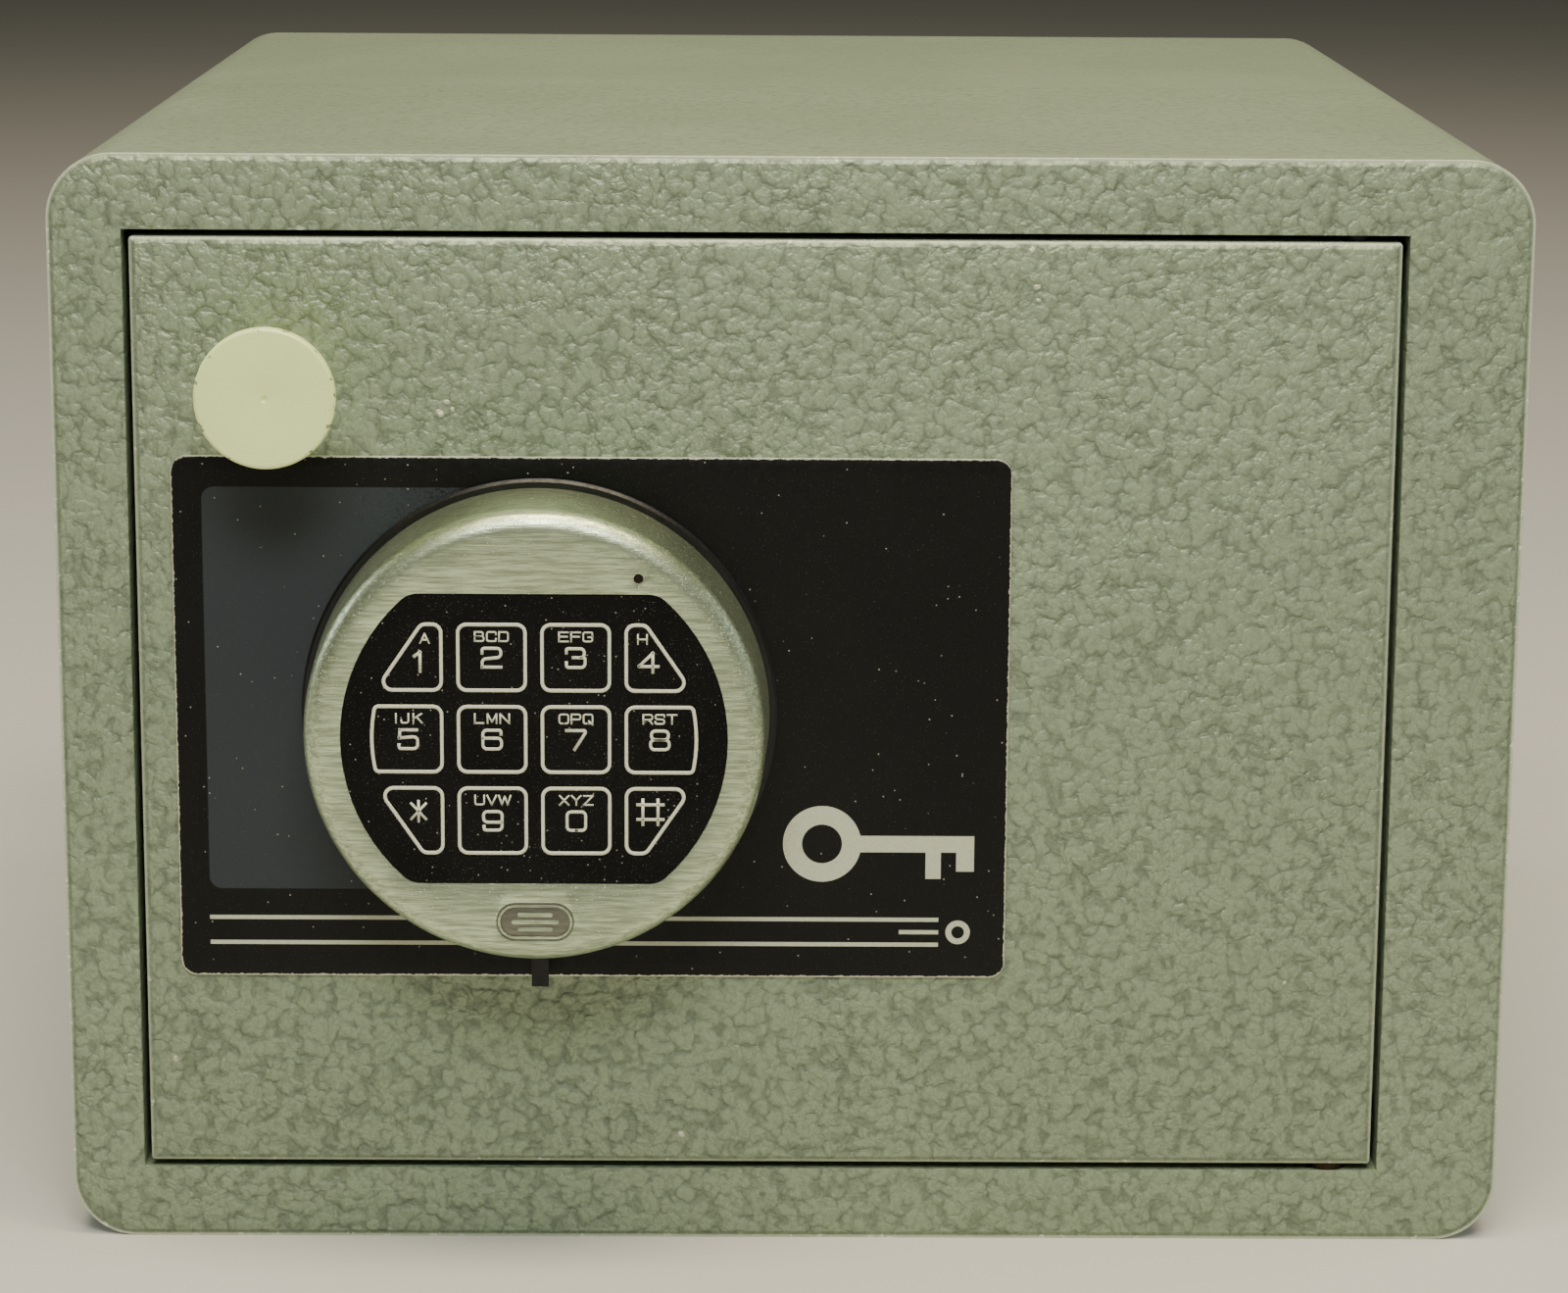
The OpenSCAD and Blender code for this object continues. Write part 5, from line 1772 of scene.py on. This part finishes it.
    def make_badge(self) -> None:
        """Presses a blank badge with a raised rim and three plain bars across it."""
        lo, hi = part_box("badge_inlay")
        plate = panel("badge", [self.badge_line(-0.12 * MM)], lo.y, hi.y - lo.y)
        soften(plate, 0.06 * MM, 2, 60)
        proud = self.badge_rise
        rim = [self.badge_line(-0.45 * MM), self.badge_line(-1.0 * MM)]
        raised = [panel("rim", rim, lo.y - proud, 2 * proud)]
        cx, cz = (lo.x + hi.x) / 2, (lo.z + hi.z) / 2
        for half_w, dz in ((4.0 * MM, 1.7 * MM), (5.4 * MM, 0.0), (4.0 * MM, -1.7 * MM)):
            corners = rectangle(cx - half_w, cz + dz - 0.5 * MM, cx + half_w, cz + dz + 0.5 * MM)
            raised.append(panel("bar", [rounded(corners, 0.4 * MM)], lo.y - proud, 2 * proud))
        for part in raised:
            soften(part, 0.08 * MM, 2, 60)
        badge = join("blank_badge", [plate, *raised])
        shade(badge, 30)
        dress_piece(badge, BADGE_NICKEL)
        badge.data.materials.append(NICKEL.material())
        for face in badge.data.polygons:
            face.material_index = 1 if face.center.y < lo.y - 0.5 * proud else 0
        fit(badge, "door", "badge_inlay")

    def make_membrane(self) -> None:
        """Cuts the membrane sheet round the twelve keys."""
        lo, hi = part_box("keypad_overlay")
        holes = [self.key_line(place, self.window_gap) for place in KEYS]
        sheet = panel("membrane", [self.membrane_line(), *holes], lo.y, hi.y - lo.y - 0.02 * MM)
        shade(sheet, 30)
        dress_piece(sheet, OVERLAY)
        fit(sheet, "door", "keypad_overlay")

    def make_legend(self, place: KeyPlace) -> None:
        """Prints one key's outline, figure and letters."""
        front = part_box(f"key_{place.name}")[0].y
        cx = self.x + (place.column - 1.5) * self.pitch
        top = self.z + (1 - place.row) * self.pitch + self.key / 2
        half = self.outline_width / 2
        parts = [strokes("outline", [self.key_line(place, -half)], self.outline_width, front, closed=True)]
        inner = cx + (self.key / 2 if place.column == 0 else -self.key / 2)
        towards = -1 if place.column == 0 else 1
        size = (2.12 * MM, 2.18 * MM)
        if not place.letters:
            mark_x = inner + towards * 5.9 * MM
            mark_z = top - (5.9 if place.is_corner else 8) * MM
            size = (2.3 * MM, 2.25 * MM) if place.figure == "*" else (2.3 * MM, 2.3 * MM)
        elif place.is_corner:
            mark_x, mark_z = inner + towards * 5.5 * MM, top - 9.1 * MM
            letter_x, letter_z = inner + towards * 4.1 * MM, top - 3.7 * MM
        else:
            mark_x, mark_z = cx, top - 8.1 * MM
            letter_x, letter_z = cx, top - 3.2 * MM
        pen = 0.6 * MM if place.figure == "*" else self.figure_pen
        lines = lettering(place.figure, mark_x, mark_z, *size, 5.2 * MM, pen)
        parts.append(strokes("figure", lines, pen, front))
        if place.letters:
            letter_half = (1.02 * MM, 1.05 * MM)
            lines = lettering(
                place.letters, letter_x, letter_z, *letter_half, 2.75 * MM, self.letter_pen
            )
            parts.append(strokes("letters", lines, self.letter_pen, front))
        legend = join(f"legend_{place.name}", parts)
        dress_piece(legend, KEY_INK)
        fit(legend, f"button_{place.name}")


# ------------------------------------------------------- knob and boltwork


@dataclass
class Knob:
    """The turning knob and what turns with it, with its profile in millimetres."""

    rim: float = 16.0
    neck: float = 8.8
    chamfer: float = 0.85
    head: float = 2.6
    rear_edge: float = 1.2
    foot: float = 2.6
    flare_start: float = 8.0

    def build(self) -> None:
        """Builds the knob and dresses its spindle and crank."""
        lo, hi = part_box("knob")
        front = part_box("door_plate")[0].y
        centre = (lo + hi) / 2
        reach = (front - lo.y) / MM
        head = reach - self.head
        under = head - self.rear_edge
        flare = self.rim - self.rear_edge - self.neck
        profile: list[Point2] = [(0.0, reach - 0.35), (0.45, reach - 0.3), (0.7, reach - 0.04), (1.0, reach)]
        profile += [(self.rim - self.chamfer - 0.1, reach)]
        profile += arc(self.rim - self.chamfer, reach - self.chamfer, self.chamfer, 82, 0, 6)
        profile += arc(self.rim - self.rear_edge, head, self.rear_edge, 0, -80, 5)
        for turn in (math.radians(9 * i) for i in range(11)):
            radius = self.neck + flare * (1 - math.sin(turn))
            profile.append((radius, under - (under - self.flare_start) * (1 - math.cos(turn))))
        profile += [(self.neck, self.foot + 0.2), (self.neck - 0.3, self.foot), (0.0, self.foot)]
        knob = turned("turning_knob", in_mm(profile), centre.x, centre.z, front)
        shade(knob, 40)
        alloy = TurnedMetal(
            "cream satin alloy", "e6f6ac", "d3e399",
            centre=(centre.x, 0.0, centre.z), rough=0.45, metallic=0.12, nick_radius=self.rim * MM,
        )
        dress_piece(knob, alloy)
        fit(knob, "knob_set", "knob")
        dress_nodes({
            "knob_bush": BRASS,
            "knob_spindle": POST_STEEL,
            "knob_grub_screw": BLACK_PLASTIC,
            "spindle_ring": POST_STEEL,
            "knob_cam": ZINC,
            "cam_pin": POST_STEEL,
        })


@dataclass
class Boltwork:
    """Bolt bar, bolts and the lock's own bolt."""

    def build(self) -> None:
        """Dresses the sliding parts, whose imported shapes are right."""
        dress_nodes({
            "bolt_bar": ZINC,
            "bolt_upper": STEEL,
            "bolt_lower": STEEL,
            "bolt_nuts": ZINC,
            "lock_bolt": BRASS,
        })


@dataclass
class Battery:
    """The nine-volt battery in the drawer."""

    def build(self) -> None:
        """Wraps the battery in a jacket with a metal rim at each end."""
        lo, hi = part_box("battery")
        body = add_box("battery_cell", lo, hi)
        soften(body, 1.6 * MM, 4, 60)
        shade(body, 30)
        dress_piece(body, BATTERY_BLACK)
        body.data.materials.append(GrainedMetal("tinned steel can", "b9bbb8", "858784").material())
        for face in body.data.polygons:
            if min(face.center.z - lo.z, hi.z - face.center.z) < 1.2 * MM:
                face.material_index = 1
        fit(body, "battery_tray", "battery")


def main() -> None:
    """Builds the studio and every sub-assembly."""
    logging.basicConfig(level=logging.INFO, format="%(message)s", stream=sys.stdout, force=True)
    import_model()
    bpy.ops.object.select_all(action="DESELECT")
    for part in (Studio(), Cabinet(), Door(), Keypad(), Knob(), Boltwork(), Battery()):
        log.info("building %s", type(part).__name__)
        part.build()


if __name__ == "__main__":
    main()
